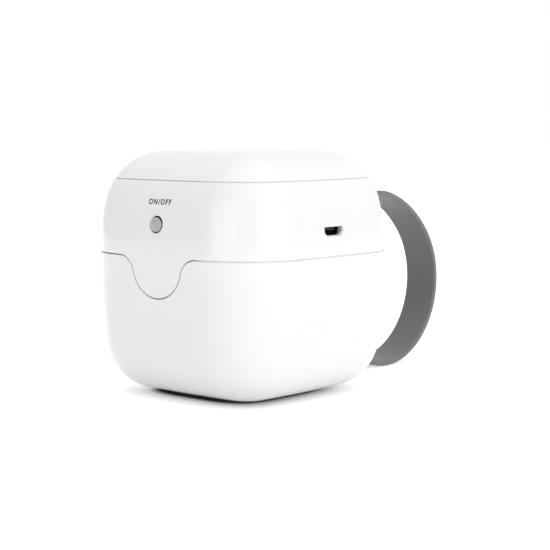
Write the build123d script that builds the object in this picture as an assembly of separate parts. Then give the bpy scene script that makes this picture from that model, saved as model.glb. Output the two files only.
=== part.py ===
from build123d import *

import math
import os
from functools import lru_cache

# Pocket ultraviolet steriliser case for a pacifier: a rounded cube with a hinged lid, a mirror-finished
# chamber in the base, the electronics in the lid and a silicone carrying loop at the back.
# Millimetres. The origin is on the table under the middle of the case, the front faces -Y, +Z is up.

# Case
case_width = 62.0  # at the lid seam, where it is widest, both ways
foot_stand = 1.2  # the foot pad holds the shell this far off the table
base_height = 35.1
lid_height = 18.2
cap_height = 6.8
wall = 2.0
lid_gap = 0.3  # parting line between lid and base
cap_gap = 0.2  # parting line between lid and cap
corner_radius = 17.3  # in plan, at the seam
side_crown = 248.0  # radius of the slightly bulged sides, in plan
upper_lean = 50.8  # radius of the sides above the seam, seen from the side
lower_lean = 188.5  # and below it
top_flat = 0.3  # how far the flat top runs past a corner's centre
bottom_flat = 2.7

# Tongue of the lid, which dips into the front of the base
tongue_radius = 8.1
tongue_depth = 10.0
tongue_flare = 4.9  # radius where it meets the seam
backing = 1.4  # wall of the base behind the tongue
backing_margin = 2.5

# Mirror-finished chamber
liner_gap = 2.0  # between base shell and liner
liner_wall = 1.0
chamber_floor = 7.4  # above the underside of the shell
rim_thickness = 1.2
rim_gap = 0.4  # round the edge of a rim that sits in a shell
rim_drop = 0.1  # of the base liner's rim below the shell's edge

# Hinge at the back
hinge_stand_off = 0.8  # of the hinge axis behind the widest part of the case
knuckle_radius = 2.5
knuckle_clearance = 0.4
hinge_inner = 7.0  # from the middle to the first knuckle
base_knuckle = 3.0
lid_knuckle = 3.8
knuckle_gap = 0.3
hinge_pin_radius = 0.8
pin_clearance = 0.05
lug_height = 8.0

# Silicone strap and the bar that it goes round
strap_width = 10.0
strap_thickness = 1.5
bar_radius = 1.5
bar_inset = 1.9  # of the bar's axis inside the widest part of the case
bar_drop = 12.3  # of the bar's axis below the seam
bar_seat = 1.2  # each end of the bar in its pocket wall
bar_clearance = 0.02
strap_play = 0.3  # round the bar and beside the strap
pocket_wall = 1.5
pocket_side = 1.2  # beside the strap
pocket_below = 8.2  # mouth of the pocket, below the bar
pocket_above = 10.8  # and above it, at the case's skin
pocket_inside = 7.1  # and behind the wall
strap_rise = 57.5  # heading of the strand that leaves the bar upwards, degrees
# Arcs of the loop from there: radius of the middle of the strap as a share of the bar's height above
# the table, and its heading at the arc's end.
strap_arcs = [(0.7007, -15.6), (1.3957, -51.6), (0.9046, -134.9), (0.968, -180.0), (0.8682, -230.5)]

# Foot pad and the screws that it covers
foot_width = 30.0
foot_corner = 7.0
foot_recess = 0.6
foot_clearance = 0.2
base_screw_margin = 5.0  # from the foot pad's edge to a screw's axis
screw_radius = 1.0
screw_head_radius = 1.9
screw_head = 1.2
screw_clearance = 0.1
screw_fit = 0.02
recess_width = 0.5  # of the cross recess in a screw's head
recess_length = 2.2
recess_depth = 0.6
base_screw_length = 4.4
boss_radius = 3.0
boss_height = 1.8
post_radius = 2.5
post_gap = 0.05

# Lid: liner, board and posts
lid_liner_gap = 0.4  # between the seam and the lid liner
lid_liner_thickness = 1.5
board_gap = 4.74  # between the board and the lid's wall
board_corner = 10.0
board_thickness = 1.0
board_stand = 1.9  # above the lid liner
lid_screw_margin = 5.5  # from the board's edge to a screw's axis
post_below_skirt = 1.4  # top of the lid's posts below the cap's skirt
rib_thickness = 1.2

# Ultraviolet lamp
window_radius = 10.0
window_thickness = 1.0
window_lip = 1.5  # of the lid liner under the window's edge
window_seat = 1.0  # from the lid liner's underside
window_clearance = 0.15
window_collar = 0.7
collar_wall = 1.1
lamp_size = 3.5
lamp_height = 1.0
lamp_pitch = 6.0
lamp_die_radius = 1.25

# Charging socket, micro-B
socket_width = 7.5
socket_height = 2.6
socket_depth = 5.6
socket_sheet = 0.3
socket_low_width = 5.5
socket_low_side = 1.1  # height of the slanted lower corners
socket_y = -1.05
socket_recess = 0.9  # of the mouth behind the lid's side
socket_lip = 0.25  # of the lid over the edge of the mouth
socket_clearance = 0.15
insert_back = 1.2
insert_fit = 0.02
insert_width = 3.7
insert_thickness = 0.7
insert_drop = 0.2  # of the tongue's top below the shell's inside
insert_short = 0.6  # of the mouth
board_tab_width = 9.0
board_tab_short = 1.8  # of the socket's mouth

# Power button and its switch
button_radius = 1.95
button_clearance = 0.25
button_height = 2.9  # above the board
button_x = -0.25
button_dome = 0.5
button_proud = 0.4
button_flange_radius = 2.8
button_flange = 0.8
button_flange_gap = 0.33  # between the flange's upper edge and the lid's wall
button_travel = 0.4
switch_width = 6.0
switch_depth = 3.5
switch_height = 4.3
switch_gap = 1.2  # between the button and the switch's case
plunger_radius = 0.9
plunger_length = 2.7
plunger_clearance = 0.2

# Other parts on the board
chip_gap = 0.05
charger_size = (3.0, 3.0, 0.9)
charger_place = (6.0, 8.5)  # from the board's right edge, and from the middle
controller_size = (5.0, 4.4, 1.2)
controller_place = (11.5, 9.0)  # from the board's right edge and front edge
inductor_radius = 2.6
inductor_height = 2.2
inductor_place = (11.0, 9.0)  # from the board's left edge and front edge
status_size = (1.6, 0.8, 0.7)
status_place = (5.7, 2.4)  # from the button's axis, and from the board's front edge
sensor_size = (3.0, 2.6, 1.0)
sensor_place = (-8.0, 3.6)  # from the middle, and from the board's front edge
battery_margin = (8.0, 7.0)  # from the board's edge, and from the lid screws' axes
battery_thickness = 5.5
battery_place = (-3.0, 2.0)
battery_corner = 1.5
battery_gap = 0.3
tab_size = (3.0, 0.15)
tab_reach = 1.6
tab_spacing = 10.0

# Magnets that hold the tongue
magnet_radius = 2.5
magnet_thickness = 1.0
magnet_clearance = 0.1
magnet_fit = 0.02
magnet_skin = 0.4
magnet_drop = 6.3  # of the magnets' axis below the seam

# Cap
skirt_height = 3.0
skirt_wall = 1.0
skirt_clearance = 0.2
skirt_overlap = 1.4  # of the skirt into the cap's wall

# Heights above the table
case_bottom = foot_stand
lid_seam = case_bottom + base_height
cap_seam = lid_seam + lid_height
case_top = cap_seam + cap_height
base_edge = lid_seam - lid_gap
liner_rim = base_edge - rim_drop
liner_floor = case_bottom + chamber_floor
lid_liner_z = lid_seam + lid_liner_gap
lid_liner_top = lid_liner_z + lid_liner_thickness
board_z = lid_liner_top + board_stand
board_top = board_z + board_thickness
button_z = board_top + button_height
socket_z = board_top + socket_height / 2
hinge_y = case_width / 2 + hinge_stand_off
bar_y = case_width / 2 - bar_inset
bar_height = lid_seam - bar_drop
pocket_back = bar_y - bar_radius - strap_thickness - 2 * strap_play
liner_back = pocket_back - pocket_wall - rim_gap
base_screw_z = case_bottom + foot_recess + screw_clearance
base_screw_spacing = foot_width - 2 * base_screw_margin
lid_screw_z = lid_liner_z + screw_clearance
lid_post_height = cap_seam - skirt_height - post_below_skirt - board_top
far = 2 * case_width  # longer than anything that is cut

# Plan of the case: corner centres at (+-corner, +-corner), and side arcs of radius side_crown.
crown_back = side_crown - case_width / 2
core_radius = side_crown - corner_radius
corner = (math.sqrt(2 * core_radius**2 - crown_back**2) - crown_back) / 2
crown_angle = math.degrees(math.atan2(corner, corner + crown_back))


def edge_round(lean, flat, height):
    """Radius of the rounding between a leaning side and the flat end `height` away from the seam."""
    reach = flat - corner_radius + lean
    return (lean**2 - reach**2 - height**2) / (2 * (lean - height))


top_round = edge_round(upper_lean, top_flat, case_top - lid_seam)
bottom_round = edge_round(lower_lean, bottom_flat, base_height)


def arc_about(centre, start, end):
    """The short arc from start to end about a centre, in the plane of a sketch."""
    c, a, b = Vector(*centre), Vector(*start), Vector(*end)
    middle = (a - c).normalized() + (b - c).normalized()
    return ThreePointArc(a, c + middle.normalized() * (a - c).length, b)


def side_section(shift, inset):
    """Half of the case's upright section, from `shift` to the side, `inset` inside the outer skin."""
    upper = (shift + corner_radius - upper_lean, lid_seam)
    lower = (shift + corner_radius - lower_lean, lid_seam)
    top = (shift + top_flat, case_top - top_round)
    bottom = (shift + bottom_flat, case_bottom + bottom_round)

    def tangent(centre, radius, towards):
        dx, dz = towards[0] - centre[0], towards[1] - centre[1]
        share = radius / math.hypot(dx, dz)
        return (centre[0] + dx * share, centre[1] + dz * share)

    floor = (bottom[0], case_bottom + inset)
    low = tangent(lower, lower_lean - inset, bottom)
    side = (shift + corner_radius - inset, lid_seam)
    high = tangent(upper, upper_lean - inset, top)
    ceiling = (top[0], case_top - inset)
    outline = [
        Line((shift, floor[1]), floor),
        arc_about(bottom, floor, low),
        arc_about(lower, low, side),
        arc_about(upper, side, high),
        arc_about(top, high, ceiling),
        Line(ceiling, (shift, ceiling[1])),
        Line((shift, ceiling[1]), (shift, floor[1])),
    ]
    return Plane.XZ * make_face(outline)


def plan(radius):
    """Plan outline with its corners `radius` about the corner centres, in the XY plane."""
    middle = core_radius + radius
    edges = []
    for quarter in range(4):
        turn = Rot(0, 0, 90 * quarter)
        side = CenterArc((-crown_back, 0), middle, -crown_angle, 2 * crown_angle)
        edges.append(turn * side)
        if radius > 0:
            bend = CenterArc((corner, corner), radius, crown_angle, 90 - 2 * crown_angle)
            edges.append(turn * bend)
    return make_face(edges)


@lru_cache(maxsize=None)
def case_solid(inset):
    """The whole case as one solid, `inset` inside its outer skin."""
    core = extrude(plan(0), amount=case_top - case_bottom - 2 * inset)
    pieces = [Pos(0, 0, case_bottom + inset) * core]
    corner_wedge = revolve(side_section(0, inset), Axis.Z, revolution_arc=90 - 2 * crown_angle)
    side_wedge = revolve(side_section(core_radius, inset), Axis.Z, revolution_arc=2 * crown_angle)
    for quarter in range(4):
        turn = Rot(0, 0, 90 * quarter)
        pieces.append(turn * Pos(corner, corner) * Rot(0, 0, crown_angle) * corner_wedge)
        pieces.append(turn * Pos(-crown_back, 0) * Rot(0, 0, -crown_angle) * side_wedge)
    return pieces[0] + pieces[1:]


def corner_reach(z, inset):
    """Plan radius about a corner's centre of the case's skin at height z, `inset` inside it."""
    if z < lid_seam:
        lean = lower_lean - inset
        return corner_radius - lower_lean + math.sqrt(lean**2 - (lid_seam - z) ** 2)
    round_z = case_top - top_round
    tilt = (round_z - lid_seam) / (upper_lean - top_round)
    if z < lid_seam + (upper_lean - inset) * tilt:
        lean = upper_lean - inset
        return corner_radius - upper_lean + math.sqrt(lean**2 - (z - lid_seam) ** 2)
    return top_flat + math.sqrt((top_round - inset) ** 2 - (z - round_z) ** 2)


def side_reach(z, inset=0.0):
    """Distance of the case's side from the middle plane at height z, halfway along the side."""
    return corner_reach(z, inset) + case_width / 2 - corner_radius


board_width = 2 * (side_reach(board_top, wall) - board_gap)
board_edge = board_width / 2
lid_screw_spacing = board_width - 2 * lid_screw_margin
battery_length = board_width - 2 * battery_margin[0]
battery_width = lid_screw_spacing - 2 * battery_margin[1]
button_flange_y = side_reach(button_z + button_flange_radius, wall) - button_flange_gap


def slab(low, high):
    return Pos(0, 0, (low + high) / 2) * Box(far, far, high - low)


def plate(radius, low, high):
    return Pos(0, 0, low) * extrude(plan(radius), amount=high - low)


def round_bar(radius, start, end):
    """A cylinder between two points."""
    a, b = Vector(*start), Vector(*end)
    return Plane(origin=a, z_dir=b - a) * extrude(Circle(radius), amount=(b - a).length)


def tongue_prism(grow):
    """The front below the seam that belongs to the lid, `grow` larger all round."""
    foot = (0, lid_seam - tongue_depth + tongue_radius)
    drop = tongue_depth - tongue_radius - tongue_flare
    flare_x = math.sqrt((tongue_radius + tongue_flare) ** 2 - drop**2)
    seam = lid_seam - grow
    share = (tongue_radius + grow) / (tongue_radius + tongue_flare)
    meet = (flare_x * share, foot[1] + drop * share)
    flare = (flare_x, lid_seam - tongue_flare)
    lowest = (0, foot[1] - tongue_radius - grow)
    right = [
        arc_about(foot, lowest, meet),
        arc_about(flare, meet, (flare_x, seam)),
    ]
    outline = right + [mirror(edge, about=Plane.YZ) for edge in right]
    outline += [
        Line((flare_x, seam), (flare_x, seam + tongue_flare)),
        Line((flare_x, seam + tongue_flare), (-flare_x, seam + tongue_flare)),
        Line((-flare_x, seam + tongue_flare), (-flare_x, seam)),
    ]
    return extrude(Plane.XZ * make_face(outline), amount=far)


def screw(length):
    """Pan-head screw, head down at the origin, shank up along Z."""
    body = Pos(0, 0, screw_head / 2) * Cylinder(screw_head_radius, screw_head)
    body += Pos(0, 0, screw_head + length / 2) * Cylinder(screw_radius, length)
    for angle in (0, 90):
        cut = Box(recess_length, recess_width, 2 * recess_depth)
        body -= Rot(0, 0, angle) * cut
    return body


def corner_places(spacing):
    half = spacing / 2
    return [(x, y) for x in (-half, half) for y in (-half, half)]


# Hinge


def lug(sign, start, width):
    """One knuckle and its web, on the lid (sign 1) or on the base (sign -1)."""
    root_z = lid_seam + sign * lug_height
    root = (side_reach(root_z) - wall / 2, root_z)
    dy, dz = root[0] - hinge_y, root[1] - lid_seam
    reach = math.hypot(dy, dz)
    turn = math.atan2(dz, dy) - sign * math.acos(knuckle_radius / reach)
    touch = (hinge_y + knuckle_radius * math.cos(turn), lid_seam + knuckle_radius * math.sin(turn))
    edge = lid_seam if sign > 0 else base_edge
    inner = case_width / 2 - corner_radius / 2
    web = make_face(Polyline((inner, edge), (inner, root_z), root, touch, (hinge_y, edge), close=True))
    web = Pos(start) * extrude(Plane.YZ * web, amount=width)
    barrel = round_bar(knuckle_radius, (start, hinge_y, lid_seam), (start + width, hinge_y, lid_seam))
    return (web & case_free(edge, sign)) + barrel


def case_free(edge, sign):
    """Room outside the case's hollow, on the lid's or the base's side of the seam."""
    half = slab(edge, edge + far) if sign > 0 else slab(edge - far, edge)
    return half - case_solid(wall)


def stations():
    """Start and width of each knuckle, for the base and for the lid, on both sides."""
    first = hinge_inner
    second = first + base_knuckle + knuckle_gap
    third = second + lid_knuckle + knuckle_gap
    base, lid = [], []
    for side in (1, -1):
        for start, width, rows in (
            (first, base_knuckle, base),
            (second, lid_knuckle, lid),
            (third, base_knuckle, base),
        ):
            rows.append((start if side > 0 else -start - width, width))
    return base, lid


hinge_outer = hinge_inner + 2 * (base_knuckle + knuckle_gap) + lid_knuckle
base_stations, lid_stations = stations()


def hinge_bar(radius, start, width):
    return round_bar(radius, (start, hinge_y, lid_seam), (start + width, hinge_y, lid_seam))


def knuckle_room(start, width):
    radius = knuckle_radius + knuckle_clearance
    return hinge_bar(radius, start - knuckle_gap, width + 2 * knuckle_gap)


def add_knuckles(shell, sign, own, other, bore):
    """Knuckles on a shell, with room for the other shell's knuckles."""
    for start, width in other:
        shell -= knuckle_room(start, width)
    for start, width in own:
        shell += lug(sign, start, width)
        shell -= hinge_bar(bore, start - knuckle_gap, width + 2 * knuckle_gap)
    return shell


def hinge_pin(side):
    start = hinge_inner if side > 0 else -hinge_outer
    return hinge_bar(hinge_pin_radius, start, hinge_outer - hinge_inner)


# Base


def strap_pocket():
    """The pocket's walls and its mouth in the back of the base."""
    half = strap_width / 2 + pocket_side
    low, high = bar_height - pocket_below, bar_height + pocket_above
    skin = side_reach(bar_height)
    slope = (skin - wall, bar_height + pocket_inside)
    mouth = make_face(
        Polyline(
            (pocket_back, low + wall),
            (skin - wall, low),
            (far, low),
            (far, high),
            (case_width / 2, high),
            slope,
            (pocket_back, slope[1]),
            close=True,
        )
    )
    mouth = Pos(-half) * extrude(Plane.YZ * mouth, amount=2 * half)
    outer = half + pocket_wall
    walls = make_face(
        Polyline(
            (pocket_back - pocket_wall, low),
            (case_width / 2, low - pocket_wall),
            (case_width / 2, slope[1] + pocket_wall),
            (pocket_back - pocket_wall, slope[1] + pocket_wall),
            close=True,
        )
    )
    walls = Pos(-outer) * extrude(Plane.YZ * walls, amount=2 * outer)
    return walls & case_solid(wall / 2), mouth


def bar(radius, half):
    return round_bar(radius, (-half, bar_y, bar_height), (half, bar_y, bar_height))


def magnet_disc(radius, front, depth):
    """A magnet or its pocket at the tongue, from `front` backwards."""
    return round_bar(radius, (0, front, magnet_z), (0, front + depth, magnet_z))


magnet_z = lid_seam - magnet_drop
tongue_inside = -side_reach(magnet_z, wall)
lid_magnet_y = tongue_inside - magnet_thickness - magnet_clearance
backing_front = -side_reach(magnet_z, wall + lid_gap)
base_magnet_y = backing_front + magnet_skin


def base_shell():
    shell = case_solid(0) - case_solid(wall)
    behind = case_solid(0) - case_solid(wall + lid_gap + backing)
    half = tongue_radius + tongue_flare + backing_margin
    low = lid_seam - tongue_depth - backing_margin
    high = liner_rim - rim_thickness - rim_drop
    panel = Pos(0, -far / 2, (low + high) / 2) * Box(2 * half, far, high - low)
    shell += behind & panel
    shell -= tongue_prism(lid_gap) - case_solid(wall + lid_gap)
    walls, mouth = strap_pocket()
    shell = shell + walls - mouth
    shell -= slab(base_edge, base_edge + far)
    shell -= bar(bar_radius + bar_clearance, strap_width / 2 + pocket_side + bar_seat)
    shell -= magnet_disc(magnet_radius + magnet_clearance, base_magnet_y, magnet_thickness + backing)
    pad_room = foot_width + 2 * foot_clearance
    recess = RectangleRounded(pad_room, pad_room, foot_corner + foot_clearance)
    shell -= Pos(0, 0, case_bottom) * extrude(recess, foot_recess)
    inside = case_bottom + wall
    head_top = base_screw_z + screw_head
    for x, y in corner_places(base_screw_spacing):
        shell += Pos(x, y, inside + boss_height / 2) * Cylinder(boss_radius, boss_height)
        head_room = Cylinder(screw_head_radius + screw_clearance, head_top - case_bottom)
        shell -= Pos(x, y, (head_top + case_bottom) / 2) * head_room
        shell -= Pos(x, y, head_top) * Cylinder(screw_radius + screw_clearance, 2 * boss_height + wall)
    return add_knuckles(shell, -1, base_stations, lid_stations, hinge_pin_radius + bar_clearance)


def base_liner():
    outer = wall + liner_gap
    inner = outer + liner_wall
    underside = liner_floor - liner_wall
    rim_z = liner_rim - rim_thickness

    def trimmed(inset, low, back):
        room = Pos(0, back - far / 2, low + far / 2) * Box(far, far, far)
        return case_solid(inset) & room

    liner = trimmed(outer, underside, liner_back) & slab(underside, liner_rim)
    liner += plate(corner_reach(rim_z, wall) - rim_gap, rim_z, liner_rim)
    post_foot = case_bottom + wall + boss_height + post_gap
    for x, y in corner_places(base_screw_spacing):
        height = liner_floor - post_foot - liner_wall / 2
        liner += Pos(x, y, post_foot + height / 2) * Cylinder(post_radius, height)
    liner -= trimmed(inner, liner_floor, liner_back - liner_wall)
    tip = base_screw_z + screw_head + base_screw_length
    for x, y in corner_places(base_screw_spacing):
        depth = tip + screw_clearance - post_foot
        liner -= Pos(x, y, post_foot + depth / 2) * Cylinder(screw_radius + screw_fit, depth)
    for start, width in lid_stations:
        liner -= knuckle_room(start, width)
    return liner


def base_screws():
    one = screw(base_screw_length)
    return [Pos(x, y, base_screw_z) * one for x, y in corner_places(base_screw_spacing)]


def foot_pad():
    return extrude(RectangleRounded(foot_width, foot_width, foot_corner), foot_stand + foot_recess)


def strap():
    """The closed loop: from the bar up, over, down to the table and back round the bar."""
    turn_radius = bar_radius + strap_play + strap_thickness / 2
    headings = [strap_rise] + [heading for _, heading in strap_arcs]
    radii = [share * bar_height for share, _ in strap_arcs]
    arcs = list(zip(radii, headings, headings[1:]))
    arcs.append((turn_radius, headings[-1], strap_rise - 360))

    def along(angle):
        return Vector(math.cos(math.radians(angle)), math.sin(math.radians(angle)))

    def right_of(angle):
        return Vector(math.sin(math.radians(angle)), -math.cos(math.radians(angle)))

    # The two straight strands close the loop: their lengths solve up * a + back * b + turned = 0.
    turned = Vector(0, 0)
    for radius, start, end in arcs:
        turned += (right_of(start) - right_of(end)) * radius
    up, back = along(headings[0]), along(headings[-1])
    det = up.X * back.Y - up.Y * back.X
    up_length = (turned.Y * back.X - turned.X * back.Y) / det
    back_length = (turned.X * up.Y - turned.Y * up.X) / det

    point = Vector(bar_y, bar_height) - right_of(strap_rise) * turn_radius
    path = [Line(point, point + up * up_length)]
    point += up * up_length
    for radius, start, end in arcs:
        if radius == turn_radius:
            path.append(Line(point, point + back * back_length))
            point += back * back_length
        centre = point + right_of(start) * radius
        middle = centre - right_of((start + end) / 2) * radius
        stop = centre - right_of(end) * radius
        path.append(ThreePointArc(point, middle, stop))
        point = stop
    print(f"strap: straight strands of {up_length:.1f} and {back_length:.1f} mm")
    loop = make_face(path)
    outer = offset(loop, strap_thickness / 2)
    inner = offset(loop, -strap_thickness / 2)
    band = Plane.YZ * (outer - inner)
    return Pos(-strap_width / 2) * extrude(band, amount=strap_width)


# Lid


def socket_outline(grow):
    """Mouth of the charging socket, seen from outside the case, in the YZ plane."""
    half, low_half = socket_width / 2 + grow, socket_low_width / 2 + grow
    top, bottom = socket_height / 2 + grow, -socket_height / 2 - grow
    side = -socket_height / 2 + socket_low_side
    right = [(half, top), (half, side), (low_half, bottom)]
    left = [(-y, z) for y, z in reversed(right)]
    return Plane.YZ * Pos(socket_y, socket_z) * make_face(Polyline(*right, *left, close=True))


socket_mouth = side_reach(socket_z) - socket_recess


flange_back = -button_flange_y + button_flange
switch_front = flange_back + switch_gap
plunger_end = flange_back + plunger_length


def button_bar(radius, front, back):
    """A cylinder along the power button's line."""
    return round_bar(radius, (button_x, front, button_z), (button_x, back, button_z))


def lid_shell():
    shell = (case_solid(0) - case_solid(wall)) & slab(lid_seam, cap_seam - cap_gap)
    tongue = (case_solid(0) - case_solid(wall)) & tongue_prism(0)
    shell += tongue
    post_top = board_top + lid_post_height
    for x, y in corner_places(lid_screw_spacing):
        post = Pos(x, y, (board_top + post_top) / 2) * Cylinder(post_radius, post_top - board_top)
        angle = math.degrees(math.atan2(y, x))
        reach = case_width / 2
        rib = Pos(x, y, (board_top + post_top) / 2) * Rot(0, 0, angle) * Pos(reach / 2)
        rib *= Box(reach, rib_thickness, post_top - board_top)
        shell += post + (rib & case_solid(wall / 2))
        drill = Cylinder(screw_radius + screw_fit, lid_post_height)
        shell -= Pos(x, y, board_top + lid_post_height / 2) * drill
    shell -= extrude(socket_outline(socket_clearance), amount=socket_mouth + socket_clearance)
    shell -= extrude(socket_outline(-socket_lip), amount=far)
    shell -= button_bar(button_radius + button_clearance, 0, -far)
    shell -= magnet_disc(magnet_radius + magnet_clearance, lid_magnet_y, far / 4)
    return add_knuckles(shell, 1, lid_stations, base_stations, hinge_pin_radius + pin_clearance)


def lid_cap():
    cap = (case_solid(0) - case_solid(wall)) & slab(cap_seam, case_top + wall)
    skirt = corner_reach(cap_seam, wall) - skirt_clearance
    low, high = cap_seam - skirt_height, cap_seam + skirt_overlap
    return cap + (plate(skirt, low, high) - plate(skirt - skirt_wall, low, high))


def lid_liner():
    liner = plate(corner_reach(lid_liner_top, wall) - rim_gap, lid_liner_z, lid_liner_top)
    seat = lid_liner_z + window_seat
    collar_radius = window_radius + window_clearance
    collar_top = lid_liner_top + window_collar
    collar = Pos(0, 0, (lid_liner_top + collar_top) / 2)
    liner += collar * Cylinder(collar_radius + collar_wall, window_collar)
    liner -= Pos(0, 0, seat + far / 2) * Cylinder(collar_radius, far)
    liner -= Pos(0, 0, seat) * Cylinder(window_radius - window_lip, 4 * window_seat)
    head_top = lid_screw_z + screw_head
    for x, y in corner_places(lid_screw_spacing):
        liner += Pos(x, y, (lid_liner_top + board_z) / 2) * Cylinder(post_radius, board_stand)
        head_room = Cylinder(screw_head_radius + screw_clearance, head_top - lid_liner_z)
        liner -= Pos(x, y, (head_top + lid_liner_z) / 2) * head_room
        liner -= Pos(x, y, board_z) * Cylinder(screw_radius + screw_clearance, 4 * board_stand)
    return liner


def lid_screws():
    length = board_top + lid_post_height - screw_clearance - lid_screw_z - screw_head
    return [Pos(x, y, lid_screw_z) * screw(length) for x, y in corner_places(lid_screw_spacing)]


def uv_window():
    z = lid_liner_z + window_seat
    return Pos(0, 0, z + window_thickness / 2) * Cylinder(window_radius, window_thickness)


def uv_leds():
    z = board_z - lamp_height / 2
    lamp = Box(lamp_size, lamp_size, lamp_height)
    lamp -= Pos(0, 0, -lamp_height / 2) * Cylinder(lamp_die_radius, lamp_height / 2)
    return [Pos(x, y, z) * lamp for x, y in corner_places(lamp_pitch)]


def main_board():
    outline = RectangleRounded(board_width, board_width, board_corner)
    board = Pos(0, 0, board_z) * extrude(outline, board_thickness)
    tab = socket_mouth - board_tab_short
    tab_place = Pos(tab / 2, socket_y, board_z + board_thickness / 2)
    board += tab_place * Box(tab, board_tab_width, board_thickness)
    for x, y in corner_places(lid_screw_spacing):
        board -= Pos(x, y, board_z) * Cylinder(screw_radius + screw_clearance, 4 * board_thickness)
    return board


def on_board(size, x, y):
    return Pos(x, y, board_top + chip_gap + size[2] / 2) * Box(*size)


def controller_chip():
    return on_board(controller_size, board_edge - controller_place[0], controller_place[1] - board_edge)


def charger_chip():
    return on_board(charger_size, board_edge - charger_place[0], charger_place[1])


def status_led():
    return on_board(status_size, button_x + status_place[0], status_place[1] - board_edge)


def boost_inductor():
    z = board_top + chip_gap + inductor_height / 2
    place = Pos(inductor_place[0] - board_edge, inductor_place[1] - board_edge, z)
    return place * Cylinder(inductor_radius, inductor_height)


def hall_sensor():
    """On the board's underside, over the tongue's magnets."""
    z = board_z - chip_gap - sensor_size[2] / 2
    return Pos(sensor_place[0], sensor_place[1] - board_edge, z) * Box(*sensor_size)


def battery():
    z = board_top + battery_gap + battery_thickness / 2
    cell = Box(battery_length, battery_width, battery_thickness)
    cell = fillet(cell.edges().filter_by(Axis.Y), battery_corner)
    cell = Pos(*battery_place, z) * cell
    tab_width, tab_thickness = tab_size
    end = battery_place[0] + battery_length / 2
    foot = board_top + chip_gap
    tab = make_face(
        Polyline(
            (end - tab_thickness, z),
            (end + tab_reach, z),
            (end + tab_reach, foot),
            (end + tab_reach - tab_thickness, foot),
            (end + tab_reach - tab_thickness, z - tab_thickness),
            (end - tab_thickness, z - tab_thickness),
            close=True,
        )
    )
    tab = extrude(Plane.XZ * tab, amount=tab_width / 2, both=True)
    for side in (-1, 1):
        cell += Pos(0, battery_place[1] + side * tab_spacing / 2, 0) * tab
    return cell


def usb_shell():
    back = Pos(socket_mouth - socket_depth)
    outer = extrude(back * socket_outline(0), amount=socket_depth)
    return outer - extrude(back * socket_outline(-socket_sheet), amount=2 * socket_depth)


def usb_tongue():
    start = socket_mouth - socket_depth
    insert = extrude(Pos(start) * socket_outline(-socket_sheet - insert_fit), amount=insert_back)
    length = socket_depth - insert_short
    z = socket_z + socket_height / 2 - socket_sheet - insert_drop - insert_thickness / 2
    return insert + Pos(start + length / 2, socket_y, z) * Box(length, insert_width, insert_thickness)


def tact_switch():
    height = switch_height - chip_gap
    place = Pos(button_x, switch_front + switch_depth / 2, board_top + chip_gap + height / 2)
    bore_end = plunger_end + button_travel + plunger_clearance
    bore = button_bar(plunger_radius + plunger_clearance, flange_back, bore_end)
    return place * Box(switch_width, switch_depth, height) - bore


def switch_plunger():
    return button_bar(plunger_radius, flange_back, plunger_end)


def power_button():
    front = -side_reach(button_z) - button_proud
    dome_radius = (button_radius**2 + button_dome**2) / (2 * button_dome)
    dome = Pos(button_x, front + dome_radius, button_z) * Sphere(dome_radius)
    cap = button_bar(button_radius, front, front + 2 * button_dome) & dome
    cap += button_bar(button_radius, front + button_dome, flange_back)
    return cap + button_bar(button_flange_radius, -button_flange_y, flange_back)


nodes = {
    "base_shell": base_shell(),
    "base_liner": base_liner(),
    "base_screws": base_screws(),
    "foot_pad": foot_pad(),
    "strap": strap(),
    "strap_bar": bar(bar_radius, strap_width / 2 + pocket_side + bar_seat - bar_clearance),
    "hinge_pin_left": hinge_pin(-1),
    "hinge_pin_right": hinge_pin(1),
    "base_magnet": magnet_disc(magnet_radius, base_magnet_y + magnet_fit, magnet_thickness),
    "lid_shell": lid_shell(),
    "lid_cap": lid_cap(),
    "lid_liner": lid_liner(),
    "lid_screws": lid_screws(),
    "lid_magnet": magnet_disc(magnet_radius, lid_magnet_y + magnet_fit, magnet_thickness),
    "uv_window": uv_window(),
    "uv_leds": uv_leds(),
    "main_board": main_board(),
    "controller_chip": controller_chip(),
    "charger_chip": charger_chip(),
    "boost_inductor": boost_inductor(),
    "status_led": status_led(),
    "hall_sensor": hall_sensor(),
    "battery": battery(),
    "usb_shell": usb_shell(),
    "usb_tongue": usb_tongue(),
    "tact_switch": tact_switch(),
    "switch_plunger": switch_plunger(),
    "power_button": power_button(),
}

os.makedirs("parts", exist_ok=True)
for name, shape in nodes.items():
    solids = shape if isinstance(shape, list) else [shape]
    export_step(Compound(children=solids) if len(solids) > 1 else solids[0], f"parts/{name}.step")
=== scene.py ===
import math

import bmesh
import bpy
from mathutils import Matrix, Vector


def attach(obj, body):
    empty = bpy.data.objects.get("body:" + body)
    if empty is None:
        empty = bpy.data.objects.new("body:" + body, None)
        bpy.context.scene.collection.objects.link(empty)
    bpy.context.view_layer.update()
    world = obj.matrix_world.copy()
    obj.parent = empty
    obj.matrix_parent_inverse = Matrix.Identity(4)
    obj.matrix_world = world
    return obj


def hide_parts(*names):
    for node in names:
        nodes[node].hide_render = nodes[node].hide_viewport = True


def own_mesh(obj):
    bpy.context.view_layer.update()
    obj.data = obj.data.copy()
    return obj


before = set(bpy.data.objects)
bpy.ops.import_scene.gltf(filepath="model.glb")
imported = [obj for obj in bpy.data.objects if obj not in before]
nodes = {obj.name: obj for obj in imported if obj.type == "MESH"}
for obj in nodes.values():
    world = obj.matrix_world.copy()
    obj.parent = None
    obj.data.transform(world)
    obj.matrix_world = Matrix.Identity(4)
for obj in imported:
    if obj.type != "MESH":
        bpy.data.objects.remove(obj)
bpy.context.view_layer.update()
print("packed model loaded")


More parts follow.
